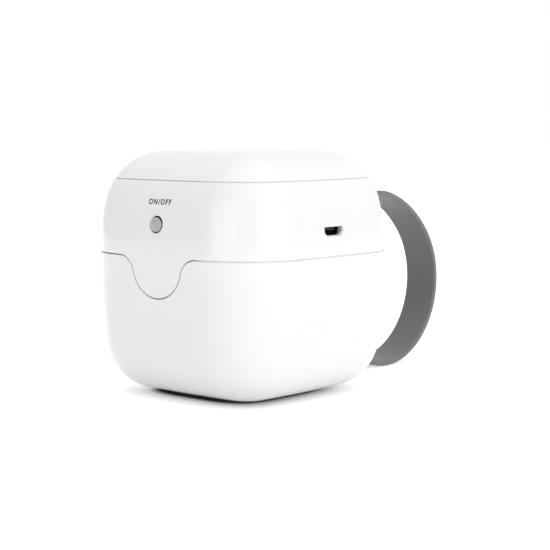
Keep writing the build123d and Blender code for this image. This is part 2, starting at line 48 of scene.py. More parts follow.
# Shader maths: a socket that can stand in a sum, so 1 - mask adds its Math node
class Signal:
    def __init__(self, finish, socket):
        self.finish, self.socket = finish, socket

    def maths(self, operation, first, second):
        return self.finish.node("ShaderNodeMath", {"operation": operation}, {0: first, 1: second})

    def __add__(self, other):
        return self.maths("ADD", self, other)

    def __sub__(self, other):
        return self.maths("SUBTRACT", self, other)

    def __rsub__(self, other):
        return self.maths("SUBTRACT", other, self)

    def __mul__(self, other):
        return self.maths("MULTIPLY", self, other)

    def __gt__(self, other):
        return self.maths("GREATER_THAN", self, other)

    __radd__ = __add__
    __rmul__ = __mul__


class Finish:
    def __init__(self, name, tree=None):
        self.material = None
        if tree is None:
            self.material = bpy.data.materials.new(name)
            self.material.use_nodes = True
            tree = self.material.node_tree
            tree.nodes.clear()
        self.tree = tree

    def node(self, kind, settings=None, values=None, output=0):
        made = self.tree.nodes.new(kind)
        for key, value in (settings or {}).items():
            if key == "stops":
                ramp = made.color_ramp.elements
                while len(ramp) < len(value):
                    ramp.new(0.5)
                for element, (position, colour) in zip(ramp, value):
                    element.position, element.color = position, colour
            else:
                setattr(made, key, value)
        for key, value in (values or {}).items():
            if isinstance(value, Signal):
                self.tree.links.new(value.socket, made.inputs[key])
            else:
                made.inputs[key].default_value = value
        return Signal(self, made.outputs[output]) if made.outputs else None

    def place(self, scale=1.0):
        point = self.node("ShaderNodeTexCoord", output="Object")
        return self.node("ShaderNodeVectorMath", {"operation": "SCALE"}, {0: point, "Scale": scale})

    def noise(self, scale, detail=2.0, roughness=0.5, output=0):
        values = {"Vector": self.place(), "Scale": scale, "Detail": detail, "Roughness": roughness}
        return self.node("ShaderNodeTexNoise", {}, values, output)

    def spread(self, signal, low, high, newLow=0.0, newHigh=1.0):
        values = {0: signal, 1: low, 2: high, 3: newLow, 4: newHigh}
        return self.node("ShaderNodeMapRange", {}, values)

    def tint(self, factor, first, second):
        return self.node("ShaderNodeMix", {"data_type": "RGBA"}, {0: factor, 6: first, 7: second}, 2)

    def bump(self, height, distance, strength=1.0):
        values = {"Height": height, "Distance": distance, "Strength": strength}
        return self.node("ShaderNodeBump", {}, values)

    def done(self, values, viewport):
        shader = self.node("ShaderNodeBsdfPrincipled", {}, values)
        self.node("ShaderNodeOutputMaterial", {}, {"Surface": shader})
        self.material.diffuse_color = viewport
        return self.material


def grey(level, alpha=1.0):
    return (level, level, level, alpha)


# Finishes

whiteAbs = {"colour": (0.85, 0.858, 0.865, 1), "shade": (0.815, 0.825, 0.835, 1), "roughness": 0.2,
       "peel": 0.000004, "flow": 45.0, "grain": 9000.0}


def glossyAbs():
    f = Finish("glossyAbs")
    flow = f.noise(whiteAbs["flow"], 3.0)
    peel = f.noise(700.0, 1.0)
    grain = f.noise(whiteAbs["grain"], 2.0)
    colour = f.tint(f.spread(flow, 0.35, 0.75, 0.0, 0.35), whiteAbs["colour"], whiteAbs["shade"])
    return f.done({
        "Base Color": colour,
        "Roughness": f.spread(f.noise(160.0, 4.0, 0.6), 0.3, 0.7, whiteAbs["roughness"] - 0.03, whiteAbs["roughness"] + 0.04),
        "Coat Weight": 0.25, "Coat Roughness": 0.06, "IOR": 1.48,
        "Normal": f.bump(peel + grain * 0.15, whiteAbs["peel"], 0.6),
    }, whiteAbs["colour"])


silicone = {"colour": (0.174, 0.17, 0.176, 1), "dust": (0.245, 0.242, 0.247, 1), "roughness": 0.52}


def strapSilicone():
    f = Finish("strapSilicone")
    specks = f.spread(f.noise(2600.0, 3.0, 0.7), 0.62, 0.75)
    cloud = f.spread(f.noise(90.0, 3.0), 0.35, 0.75)
    colour = f.tint(cloud * 0.25 + specks * 0.4, silicone["colour"], silicone["dust"])
    return f.done({
        "Base Color": colour,
        "Roughness": f.spread(cloud, 0.0, 1.0, silicone["roughness"], silicone["roughness"] + 0.12),
        "IOR": 1.41, "Sheen Weight": 0.15, "Sheen Roughness": 0.4,
        "Normal": f.bump(f.noise(3800.0, 2.0), 0.000012, 0.7),
    }, silicone["colour"])


def padSilicone():
    f = Finish("padSilicone")
    specks = f.spread(f.noise(2400.0, 3.0, 0.7), 0.6, 0.75)
    # The pad's grey is its own dark silicone, set darker still so that it deepens the shadow line under the case:
    # partly painted shade
    colour = f.tint(specks * 0.5, (0.09, 0.09, 0.092, 1), (0.16, 0.16, 0.162, 1))
    return f.done({
        "Base Color": colour, "Roughness": f.spread(specks, 0.0, 1.0, 0.6, 0.75), "IOR": 1.41,
        "Normal": f.bump(f.noise(4200.0, 2.0), 0.000015, 0.8),
    }, grey(0.09))


dome = {"edge": -0.03035}  # behind here the button is coloured black: painted shade, so that the gap round the dome shows as a dark crescent


def buttonPlastic():
    f = Finish("buttonPlastic")
    haze = f.noise(900.0, 2.0)
    colour = f.tint(f.spread(haze, 0.3, 0.7), (0.31, 0.345, 0.38, 1), (0.38, 0.415, 0.45, 1))
    depth = f.node("ShaderNodeSeparateXYZ", {}, {"Vector": f.place()}, 1)
    # Painted shade: the part of the button behind the dome's edge is coloured near black
    paintedShadeBehind = f.spread(depth, dome["edge"], dome["edge"] + 0.00005)
    return f.done({
        "Base Color": f.tint(paintedShadeBehind, colour, grey(0.01)), "Roughness": f.spread(haze, 0.3, 0.7, 0.1, 0.16), "IOR": 1.49,
        "Coat Weight": 0.6, "Coat Roughness": 0.03,
        "Normal": f.bump(f.noise(6000.0, 2.0), 0.000002, 0.5),
    }, (0.42, 0.45, 0.49, 1))


def metal(name, colour, dark, roughness, scale, streak, bump):
    f = Finish(name)
    point = f.node("ShaderNodeMapping", {}, {"Vector": f.place(), "Scale": streak})
    lines = f.node("ShaderNodeTexNoise", {}, {"Vector": point, "Scale": scale, "Detail": 4.0})
    smudge = f.spread(f.noise(120.0, 3.0, 0.6), 0.4, 0.7)
    return f.done({
        "Base Color": f.tint(smudge * 0.6, colour, dark),
        "Roughness": f.spread(lines * 0.6 + smudge * 0.4, 0.2, 0.8, roughness * 0.7, roughness * 1.5),
        "Metallic": 1.0,
        "Normal": f.bump(lines, bump, 0.6),
    }, colour)


def quartzGlass():
    f = Finish("quartzGlass")
    return f.done({
        "Base Color": (0.97, 0.985, 1.0, 1), "IOR": 1.46, "Transmission Weight": 1.0,
        "Roughness": f.spread(f.noise(220.0, 3.0, 0.6), 0.5, 0.75, 0.01, 0.06),
    }, (0.9, 0.95, 1.0, 1))


def boardLaminate():
    f = Finish("boardLaminate")
    cells = f.node("ShaderNodeTexVoronoi", {"feature": "DISTANCE_TO_EDGE", "distance": "MANHATTAN"},
                   {"Vector": f.place(), "Scale": 520.0, "Randomness": 0.55})
    trace = f.spread(cells, 0.03, 0.07)
    weave = f.noise(2500.0, 2.0)
    colour = f.tint(trace, (0.03, 0.15, 0.07, 1), (0.012, 0.075, 0.035, 1))
    return f.done({
        "Base Color": colour, "Roughness": f.spread(weave, 0.3, 0.7, 0.28, 0.42),
        "Normal": f.bump(trace * 0.6 + weave * 0.4, 0.00002, 0.7),
    }, (0.02, 0.1, 0.05, 1))


def blackPlastic(name, dark, light, rough):
    f = Finish(name)
    grain = f.noise(9000.0, 3.0)
    return f.done({
        "Base Color": f.tint(grain, grey(dark), grey(light)),
        "Roughness": f.spread(grain, 0.3, 0.7, rough, rough + 0.2), "Normal": f.bump(grain, 0.00001, 0.7),
    }, grey(dark))


def lampCeramic():
    f = Finish("lampCeramic")
    grain = f.noise(5000.0, 3.0)
    return f.done({
        "Base Color": f.tint(grain, (0.78, 0.76, 0.66, 1), (0.86, 0.84, 0.76, 1)),
        "Roughness": f.spread(grain, 0.3, 0.7, 0.35, 0.5), "Normal": f.bump(grain, 0.000006, 0.7),
    }, (0.8, 0.78, 0.7, 1))


def pouchFoil():
    f = Finish("pouchFoil")
    crease = f.noise(170.0, 5.0, 0.65)
    return f.done({
        "Base Color": f.tint(f.spread(crease, 0.4, 0.65), (0.56, 0.57, 0.58, 1), (0.7, 0.71, 0.72, 1)),
        "Roughness": f.spread(crease, 0.3, 0.7, 0.28, 0.45), "Metallic": 0.85,
        "Normal": f.bump(crease, 0.00012, 0.7),
    }, grey(0.6))


def printedInk():
    f = Finish("printedInk")
    wear = f.noise(3000.0, 3.0, 0.6)
    return f.done({
        "Base Color": f.tint(wear, (0.018, 0.019, 0.021, 1), (0.034, 0.035, 0.038, 1)),
        "Roughness": f.spread(wear, 0.3, 0.7, 0.4, 0.55), "Normal": f.bump(wear, 0.000003, 0.5),
    }, grey(0.15))


def violetDie():
    f = Finish("violetDie")
    grid = f.node("ShaderNodeTexChecker", {}, {"Vector": f.place(), "Scale": 9000.0}, 1)
    return f.done({
        "Base Color": f.tint(grid, (0.16, 0.12, 0.3, 1), (0.24, 0.2, 0.4, 1)),
        "Roughness": f.spread(grid, 0.0, 1.0, 0.15, 0.3), "Coat Weight": 0.6,
    }, (0.2, 0.15, 0.35, 1))


finishes = {
    "ink": printedInk(), "die": violetDie(),
    "brass": metal("contactGold", (0.78, 0.58, 0.26, 1), (0.6, 0.43, 0.19, 1), 0.2, 1500.0, (0.2, 1, 1), 0.000002),
    "abs": glossyAbs(), "strap": strapSilicone(), "pad": padSilicone(), "button": buttonPlastic(),
    "mirror": metal("mirrorPlating", (0.88, 0.885, 0.89, 1), (0.80, 0.805, 0.81, 1), 0.07, 60.0, (1, 1, 1), 0.000001),
    "steel": metal("brightSteel", (0.62, 0.62, 0.61, 1), (0.48, 0.48, 0.47, 1), 0.25, 900.0, (0.15, 1, 1), 0.000004),
    "nickel": metal("nickelPlate", (0.66, 0.645, 0.61, 1), (0.52, 0.505, 0.475, 1), 0.22, 1200.0, (1, 0.2, 1), 0.000003),
    "quartz": quartzGlass(), "board": boardLaminate(), "chip": blackPlastic("chipPlastic", 0.012, 0.036, 0.5),
    "insert": blackPlastic("insertPlastic", 0.003, 0.006, 0.6), "ceramic": lampCeramic(),
    "foil": pouchFoil(),
}
print("finishes made")


# Shape of the case, in millimetres until each piece is finished

case = {
    "width": 62.0, "stand": 1.2, "seam": 36.3, "capSeam": 54.5, "top": 61.3, "wall": 2.0,
    "lidGap": 0.3, "capGap": 0.2, "cornerRadius": 17.3, "crown": 248.0, "upperLean": 50.8, "lowerLean": 188.5,
    "topFlat": 0.3, "bottomFlat": 2.7, "softEdge": 0.12,
}
lap = {"lid": (1.7, 0.15), "cap": (0.3, 0.15), "lidRise": 0.24, "capRise": 0.16, "turn": (9.0, 5.0)}
tongue = {"radius": 8.1, "depth": 10.0, "flare": 4.9, "footSteps": 24, "flareSteps": 10, "flatSteps": 4}
crownBack = case["crown"] - case["width"] / 2
coreRadius = case["crown"] - case["cornerRadius"]
corner = (math.sqrt(2 * coreRadius ** 2 - crownBack ** 2) - crownBack) / 2
crownAngle = math.atan2(corner, corner + crownBack)


def edgeRound(lean, flat, height):
    across = flat - case["cornerRadius"] + lean
    return (lean ** 2 - across ** 2 - height ** 2) / (2 * (lean - height))


topRound = edgeRound(case["upperLean"], case["topFlat"], case["top"] - case["seam"])
bottomRound = edgeRound(case["lowerLean"], case["bottomFlat"], case["seam"] - case["stand"])
topRoundZ, bottomRoundZ = case["top"] - topRound, case["stand"] + bottomRound
highTilt = (topRoundZ - case["seam"]) / (case["upperLean"] - topRound)
lowTilt = (case["seam"] - bottomRoundZ) / (case["lowerLean"] - bottomRound)


# Arc of the upright section at a height: its centre, measured out from a corner's centre, and its radius
def sectionArc(z, inset=0.0):
    if z > case["seam"] + (case["upperLean"] - inset) * highTilt:
        return case["topFlat"], topRoundZ, topRound - inset
    if z >= case["seam"]:
        return case["cornerRadius"] - case["upperLean"], case["seam"], case["upperLean"] - inset
    if z > case["seam"] - (case["lowerLean"] - inset) * lowTilt:
        return case["cornerRadius"] - case["lowerLean"], case["seam"], case["lowerLean"] - inset
    return case["bottomFlat"], bottomRoundZ, bottomRound - inset


def reach(z, inset=0.0):
    out, middle, radius = sectionArc(z, inset)
    return out + math.sqrt(max(0.0, radius ** 2 - (z - middle) ** 2))


def sideReach(z, inset=0.0):
    return reach(z, inset) + case["width"] / 2 - case["cornerRadius"]


# Signed distance from the case's skin and the skin's direction there
def skinAt(point):
    x, y, z = point
    if abs(x) > abs(y):
        turn = 0 if x > 0 else 2
    else:
        turn = 1 if y > 0 else 3
    c, s = round(math.cos(turn * math.pi / 2)), round(math.sin(turn * math.pi / 2))
    along, side = x * c + y * s, -x * s + y * c
    if abs(math.atan2(side, along + crownBack)) <= crownAngle:
        away = Vector((along + crownBack, side))
        r = away.length - coreRadius
    else:
        away = Vector((along - corner, side - math.copysign(corner, side)))
        r = away.length
    away.normalize()
    flat = Vector((away.x * c - away.y * s, away.x * s + away.y * c))
    out, middle, radius = sectionArc(z)
    lean = Vector((r - out, z - middle))
    gap = lean.length - radius
    lean.normalize()
    return gap, Vector((flat.x * lean.x, flat.y * lean.x, lean.y))


# Columns round the case. In front they follow the tongue's outline, `grow` larger all round.
def columns(grow):
    drop = tongue["depth"] - tongue["radius"] - tongue["flare"]
    flareX = math.sqrt((tongue["radius"] + tongue["flare"]) ** 2 - drop ** 2)
    turn = math.atan2(drop, flareX)
    foot, flare = tongue["radius"] + grow, tongue["flare"] - grow
    line = []
    for i in range(tongue["footSteps"] + 1):
        a = -math.pi / 2 + (turn + math.pi / 2) * i / tongue["footSteps"]
        line.append((foot * math.cos(a), tongue["radius"] - tongue["depth"] + foot * math.sin(a)))
    for i in range(1, tongue["flareSteps"] + 1):
        a = math.pi + turn - (math.pi / 2 + turn) * i / tongue["flareSteps"]
        line.append((flareX + flare * math.cos(a), -tongue["flare"] + flare * math.sin(a)))
    end = case["crown"] * math.sin(crownAngle)
    line += [(flareX + (end - flareX) * i / tongue["flatSteps"], -grow) for i in range(1, tongue["flatSteps"])]

    def front(x, z):
        a = math.asin(x / case["crown"])
        return 0.0, crownBack, coreRadius, math.sin(a), -math.cos(a), z

    made = [front(x, z) for x, z in line]
    for quarter in range(4):
        c, s = [(0, -1), (1, 0), (0, 1), (-1, 0)][quarter]
        turned = lambda x, y: (x * c - y * s, x * s + y * c)
        for i in range(25):
            a = crownAngle + (math.pi / 2 - 2 * crownAngle) * i / 24
            made.append((*turned(corner, corner), 0.0, *turned(math.cos(a), math.sin(a)), -grow))
        if quarter < 3:
            c, s = [(1, 0), (0, 1), (-1, 0)][quarter]
            for i in range(1, 10):
                a = crownAngle * (i / 5 - 1)
                made.append((*turned(-crownBack, 0), coreRadius, *turned(math.cos(a), math.sin(a)), -grow))
    return made + [front(-x, z) for x, z in reversed(line[1:])]


# How deep a seam is before its lap closes it: less on the right
def lapDepth(seamName, more=0.0):
    (deep, shallow), (start, width) = lap[seamName], lap["turn"]
    return lambda x: deep + (shallow - deep) * min(1.0, max(0.0, (x - start) / width)) + more


# One ring of points: on the parting line, or `share` of the way from it to a level ring
def ring(grow, inset, level=None, share=1.0, thick=0.0):
    made = []
    for cx, cy, extra, nx, ny, drop in columns(grow):
        z = case["seam"] + drop
        if level is not None:
            z += (level - z) * share
        inside = thick * min(1.0, max(0.0, (0.35 - abs(nx)) / 0.15)) if ny < 0 else 0.0
        depth = inset(cx + extra * nx) if callable(inset) else inset
        r = extra + reach(z, depth + inside)
        made.append((cx + r * nx, cy + r * ny, z))
    return made


# Levels on a rounding, from the flat end to the leaning side
def roundLevels(inset, top, steps):
    if top:
        middle, radius, tilt = topRoundZ, topRound - inset, math.asin(highTilt)
        return [middle + radius * math.cos((math.pi / 2 - tilt) * i / steps) for i in range(steps + 1)]
    middle, radius, tilt = bottomRoundZ, bottomRound - inset, math.asin(lowTilt)
    return [middle - radius * math.cos((math.pi / 2 - tilt) * i / steps) for i in range(steps + 1)]


def between(start, end, steps):
    return [start + (end - start) * i / steps for i in range(steps + 1)]


# Mesh building


def meshPiece(name, points, faces):
    piece = bpy.data.objects.new(name, bpy.data.meshes.new(name))
    bpy.context.scene.collection.objects.link(piece)
    piece.data.from_pydata([tuple(p) for p in points], [], faces)
    piece.data.update()
    return piece


def outwards(piece):
    work = bmesh.new()
    work.from_mesh(piece.data)
    bmesh.ops.remove_doubles(work, verts=work.verts, dist=0.0005)
    bmesh.ops.recalc_face_normals(work, faces=work.faces)
    work.to_mesh(piece.data)
    work.free()
    return piece


# Closed skin of rings: joined in a loop, or closed with a flat face at both ends
def ringPiece(name, rings, looped):
    count = len(rings[0])
    points = [p for row in rings for p in row]
    faces = []
    for j in range(len(rings) if looped else len(rings) - 1):
        a, b = j * count, (j + 1) % len(rings) * count
        faces += [(a + i, a + (i + 1) % count, b + (i + 1) % count, b + i) for i in range(count)]
    if not looped:
        faces += [tuple(range(count - 1, -1, -1)), tuple(range(len(points) - count, len(points)))]
    return outwards(meshPiece(name, points, faces))


# Solid of revolution: profile of (radius, height) from axis to axis
def turned(name, profile, base=(0, 0, 0), axis=(0, 0, 1), steps=48):
    spin = Vector(axis).to_track_quat("Z", "Y").to_matrix()
    points, faces, rows = [], [], []
    for radius, height in profile:
        if radius < 1e-6:
            rows.append([len(points)])
            points.append(Vector(base) + spin @ Vector((0, 0, height)))
            continue
        rows.append(list(range(len(points), len(points) + steps)))
        for i in range(steps):
            a = 2 * math.pi * i / steps
            points.append(Vector(base) + spin @ Vector((radius * math.cos(a), radius * math.sin(a), height)))
    for low, high in zip(rows, rows[1:]):
        for i in range(steps):
            k = (i + 1) % steps
            if len(low) == 1:
                faces.append((low[0], high[k], high[i]))
            elif len(high) == 1:
                faces.append((low[i], low[k], high[0]))
            else:
                faces.append((low[i], low[k], high[k], high[i]))
    return outwards(meshPiece(name, points, faces))


# Prism of a flat outline; `lift` puts (u, v, along) into the case's axes
def prism(name, outline, start, end, lift):
    count = len(outline)
    points = [lift(u, v, start) for u, v in outline] + [lift(u, v, end) for u, v in outline]
    faces = [(i, (i + 1) % count, count + (i + 1) % count, count + i) for i in range(count)]
    faces += [tuple(range(count - 1, -1, -1)), tuple(range(count, 2 * count))]
    return outwards(meshPiece(name, points, faces))


def sideways(u, v, along):  # outline in the YZ plane, thickness along X
    return along, u, v


def upwards(u, v, along):  # outline in the XY plane, thickness along Z
    return u, v, along


def roundedSquare(width, radius, steps=8):
    made = []
    for quarter in range(4):
        c, s = [(1, 0), (0, 1), (-1, 0), (0, -1)][quarter]
        for i in range(steps + 1):
            a = math.pi / 2 * i / steps
            x, y = width / 2 - radius + radius * math.cos(a), width / 2 - radius + radius * math.sin(a)
            made.append((x * c - y * s, x * s + y * c))
    return made


def corners(spacing):
    return [(x * spacing / 2, y * spacing / 2) for x in (-1, 1) for y in (-1, 1)]


# Modifiers are made real at once, so each piece ends as a plain mesh
def settle(piece):
    bpy.context.view_layer.update()
    view = bpy.context.evaluated_depsgraph_get()
    made = bpy.data.meshes.new_from_object(piece.evaluated_get(view))
    old = piece.data
    piece.modifiers.clear()
    piece.data = made
    made.name = piece.name
    bpy.data.meshes.remove(old)
    return piece


def soften(piece, width, segments=3, angle=40.0):
    bevel = piece.modifiers.new("soften", "BEVEL")
    bevel.width, bevel.segments, bevel.limit_method = width, segments, "ANGLE"
    bevel.angle_limit, bevel.harden_normals = math.radians(angle), False
    return settle(piece)


def carve(piece, tools, operation="DIFFERENCE"):
    tool = join(tools[0], tools[1:])
    change = piece.modifiers.new("carve", "BOOLEAN")
    change.operation, change.solver, change.object = operation, "EXACT", tool
    settle(piece)
    bpy.data.objects.remove(tool)
    return piece


def join(piece, others):
    work = bmesh.new()
    work.from_mesh(piece.data)
    for other in others:
        work.from_mesh(other.data)
        bpy.data.objects.remove(other)
    work.to_mesh(piece.data)
    work.free()
    return piece


# Millimetres to metres, smooth shading with sharp edges kept, and the skin's own direction on its faces
def finishPiece(piece, finish, body, stands=(), onSkin=False, angle=32.0):
    mesh = piece.data
    work = bmesh.new()
    work.from_mesh(mesh)
    bmesh.ops.dissolve_degenerate(work, dist=0.0005, edges=work.edges)
    work.to_mesh(mesh)
    work.free()
    mesh.shade_smooth()
    mesh.set_sharp_from_angle(angle=math.radians(angle))
    if onSkin:
        directions = [(0.0, 0.0, 0.0)] * len(mesh.loops)
        known = [skinAt(v.co) for v in mesh.vertices]
        for face in mesh.polygons:
            for k in face.loop_indices:
                gap, direction = known[mesh.loops[k].vertex_index]
                if abs(gap) < 0.03 and face.normal.dot(direction) > 0.985:
                    directions[k] = tuple(direction)
        mesh.normals_split_custom_set(directions)
    mesh.transform(Matrix.Scale(0.001, 4))
    mesh.materials.clear()
    mesh.materials.append(finishes[finish])
    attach(piece, body)
    for name in stands:
        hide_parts(name)
    return piece


seam, wall, edge = case["seam"], case["wall"], case["softEdge"]


def filletSteps(count=5):
    return [math.pi / 2 * i / count for i in range(count + 1)]


# Hinge

hinge = {"y": 31.8, "radius": 2.5, "clearance": 0.4, "pin": 0.8, "lug": 8.0, "gap": 0.3,
         "baseStations": [(7.0, 3.0), (14.4, 3.0)], "lidStations": [(10.3, 3.8)], "soft": 0.22}


def bothSides(stations):
    return stations + [(-start - width, width) for start, width in stations]


def lugPiece(sign, start, width, edgeZ, bore):
    rootZ = seam + sign * hinge["lug"]
    root = (sideReach(rootZ) - wall / 2, rootZ)
    dy, dz = root[0] - hinge["y"], root[1] - seam
    first = math.atan2(dz, dy) - sign * math.acos(hinge["radius"] / math.hypot(dy, dz))
    last = -sign * math.pi if sign > 0 else math.pi + math.asin((seam - edgeZ) / hinge["radius"])
    outline = [(sideReach(rootZ, 0.9 * wall), rootZ), root]
    for i in range(37):
        a = first + (last - first) * i / 36
        outline.append((hinge["y"] + hinge["radius"] * math.cos(a), seam + hinge["radius"] * math.sin(a)))
    outline.append((sideReach(edgeZ, 0.9 * wall), edgeZ))
    lug = prism("lug", outline, start, start + width, sideways)
    soften(lug, hinge["soft"], 2, 50.0)
    hole = turned("bore", [(0, -1), (bore, -1), (bore, width + 1), (0, width + 1)],
                  (start, hinge["y"], seam), (1, 0, 0), 32)
    return carve(lug, [hole])


def knuckleRoom(start, width):
    gap, radius = hinge["gap"], hinge["radius"] + hinge["clearance"]
    profile = [(0, -gap), (radius, -gap), (radius, width + gap), (0, width + gap)]
    return turned("room", profile, (start, hinge["y"], seam), (1, 0, 0), 64)


def frontY(x, z, inset=0.0):
    r = reach(z, inset)
    if abs(x) < (coreRadius + r) * math.sin(crownAngle):
        return crownBack - math.sqrt((coreRadius + r) ** 2 - x * x)
    return -corner - math.sqrt(r * r - (abs(x) - corner) ** 2)


# Base shell

base = {"backing": 1.4, "margin": 2.5, "blend": 14.0, "barY": 29.1, "barZ": 24.0, "barRadius": 1.35, "barSunk": 0.15,
        "pocketHalf": 6.2, "pocketBack": 25.5, "pocketWall": 1.5, "below": 8.2, "above": 10.8, "inside": 7.1,
        "footWidth": 30.4, "footCorner": 7.2, "footRecess": 0.6, "screws": 20.0, "magnetZ": 30.0}


def pocketTools():
    half, far = base["pocketHalf"], 50.0
    low, high, top = base["barZ"] - base["below"], base["barZ"] + base["above"], base["barZ"] + base["inside"]
    skin, back, thick = sideReach(base["barZ"]), base["pocketBack"], base["pocketWall"]
    mouth = [(back, low + wall), (skin - wall, low), (far, low), (far, high), (30.0, high), (skin - wall, top), (back, top)]
    outer = [(sideReach(z) - 1.0, z) for z in between(low - thick, top + thick, 6)]
    walls = [(back - thick, low)] + outer + [(back - thick, top + thick)]
    walls = prism("walls", walls, -half - thick, half + thick, sideways)
    return walls, soften(prism("mouth", mouth, -half, half, sideways), 0.5, 3, 20.0)


def backingPanel():
    half = tongue["radius"] + tongue["flare"] + base["margin"]
    low, high = seam - tongue["depth"] - base["margin"], seam - 1.7
    xs, zs = between(-half, half, 30), between(low, high, 8)
    outer = wall + case["lidGap"]
    points, faces, wide = [], [], len(xs)
    for inset in (outer, outer + base["backing"]):
        points += [(x, frontY(x, z, inset), z) for z in zs for x in xs]
    count = wide * len(zs)
    for j in range(len(zs) - 1):
        for i in range(wide - 1):
            k = j * wide + i
            faces += [(k, k + 1, k + 1 + wide, k + wide), tuple(count + n for n in (k, k + wide, k + 1 + wide, k + 1))]
    rim = list(range(wide)) + [wide * (j + 1) - 1 for j in range(1, len(zs))]
    rim += [count - 1 - i for i in range(1, wide)] + [wide * j for j in range(len(zs) - 2, 0, -1)]
    faces += [(rim[i], rim[(i + 1) % len(rim)], count + rim[(i + 1) % len(rim)], count + rim[i]) for i in range(len(rim))]
    return outwards(meshPiece("backing", points, faces))


def baseShell():
    gap, blend = case["lidGap"], seam - base["blend"]
    rings = [ring(gap, 0, level) for level in roundLevels(0, False, 14)]
    low = roundLevels(0, False, 1)[-1]
    rings += [ring(gap, 0, level) for level in between(low, blend, 5)[1:]]
    rings += [ring(gap + edge, 0, blend, share) for share in between(1.0, 0.0, 8)[1:-1]]
    for a in reversed(filletSteps()):
        rings.append(ring(gap + edge * (1 - math.cos(a)), edge * (1 - math.sin(a))))
    thick, rise = 0.36, lap["lidRise"]
    rings += [ring(gap, lapDepth("lid")), ring(gap - rise, lapDepth("lid", 0.06)), ring(gap - rise, wall, thick=thick)]
    rings += [ring(gap, wall, blend, share, thick) for share in (0.3, 0.6, 1.0)]
    inner = list(reversed(roundLevels(wall, False, 6)))
    rings += [ring(gap, wall, level, thick=thick) for level in between(blend, inner[0], 4)[1:]]
    rings += [ring(gap, wall, level) for level in inner[1:]]
    shell = ringPiece("baseShell", rings, False)
    walls, mouth = pocketTools()
    bosses = [turned("boss", [(0, 3.0), (3.0, 3.0), (3.0, 5.0), (0, 5.0)], (x, y, 0)) for x, y in corners(base["screws"])]
    carve(shell, [walls] + bosses, "UNION")
    bore = [(0, -1), (2.0, -1), (2.0, 3.1), (1.1, 3.1), (1.1, 7), (0, 7)]
    bores = [turned("bore", bore, (x, y, 0), steps=40) for x, y in corners(base["screws"])]
    recess = prism("recess", roundedSquare(base["footWidth"], base["footCorner"]), 0, 1.2 + base["footRecess"], upwards)
    carve(shell, [recess, mouth] + [knuckleRoom(*s) for s in bothSides(hinge["lidStations"])])
    hole, y = base["barRadius"] + 0.02, base["barY"] - base["barSunk"]
    barHole = turned("hole", [(0, -7.4), (hole, -7.4), (hole, 7.4), (0, 7.4)], (0, y, base["barZ"]), (1, 0, 0))
    carve(shell, bores + [barHole])
    magnetY = frontY(0, base["magnetZ"], wall + gap) + 0.4
    magnet = turned("magnet", [(0, 0), (2.6, 0), (2.6, 3), (0, 3)], (0, magnetY, base["magnetZ"]), (0, 1, 0))
    panel = carve(backingPanel(), [magnet])
    lugs = [lugPiece(-1, start, width, seam - case["lidGap"], hinge["pin"] + 0.02) for start, width in bothSides(hinge["baseStations"])]
    return join(shell, [panel] + lugs)


finishPiece(baseShell(), "abs", "base", ["base_shell"], True)
print("base shell made")


# Lid shell

lid = {"blend": 5.0, "buttonX": -0.25, "buttonZ": 44.0, "buttonHole": 2.12, "flare": 0.06, "socketY": -1.05,
       "socketZ": 42.4, "mouth": 29.73, "screws": 37.05, "postTop": 50.1, "boardTop": 41.1, "ribs": 1.2}


def socketOutline(grow):
    half, low, side = 3.75 + grow, 2.75 + grow, -1.3 + 1.1
    right = [(half, 1.3 + grow), (half, side), (low, -1.3 - grow)]
    return [(lid["socketY"] + y, lid["socketZ"] + z) for y, z in right + [(-y, z) for y, z in reversed(right)]]


def socketHole():
    skin, mouth = sideReach(lid["socketZ"]), lid["mouth"] + 0.15
    stages = [(mouth - 4, 0.15, 0.0), (mouth, 0.15, 0.0), (mouth, -0.33, 0.08), (mouth + 0.1, -0.33, 0.08),
              (skin - 0.1, -0.2, 0.08), (skin + 0.15, -0.05, 0.08)]
    points, faces = [], []
    for x, grow, drop in stages:
        points += [(x, y, z - drop) for y, z in socketOutline(grow)]
    for j in range(len(stages) - 1):
        faces += [(j * 6 + i, j * 6 + (i + 1) % 6, j * 6 + 6 + (i + 1) % 6, j * 6 + 6 + i) for i in range(6)]
    faces += [(5, 4, 3, 2, 1, 0), tuple(range(len(points) - 6, len(points)))]
    return outwards(meshPiece("socketHole", points, faces))


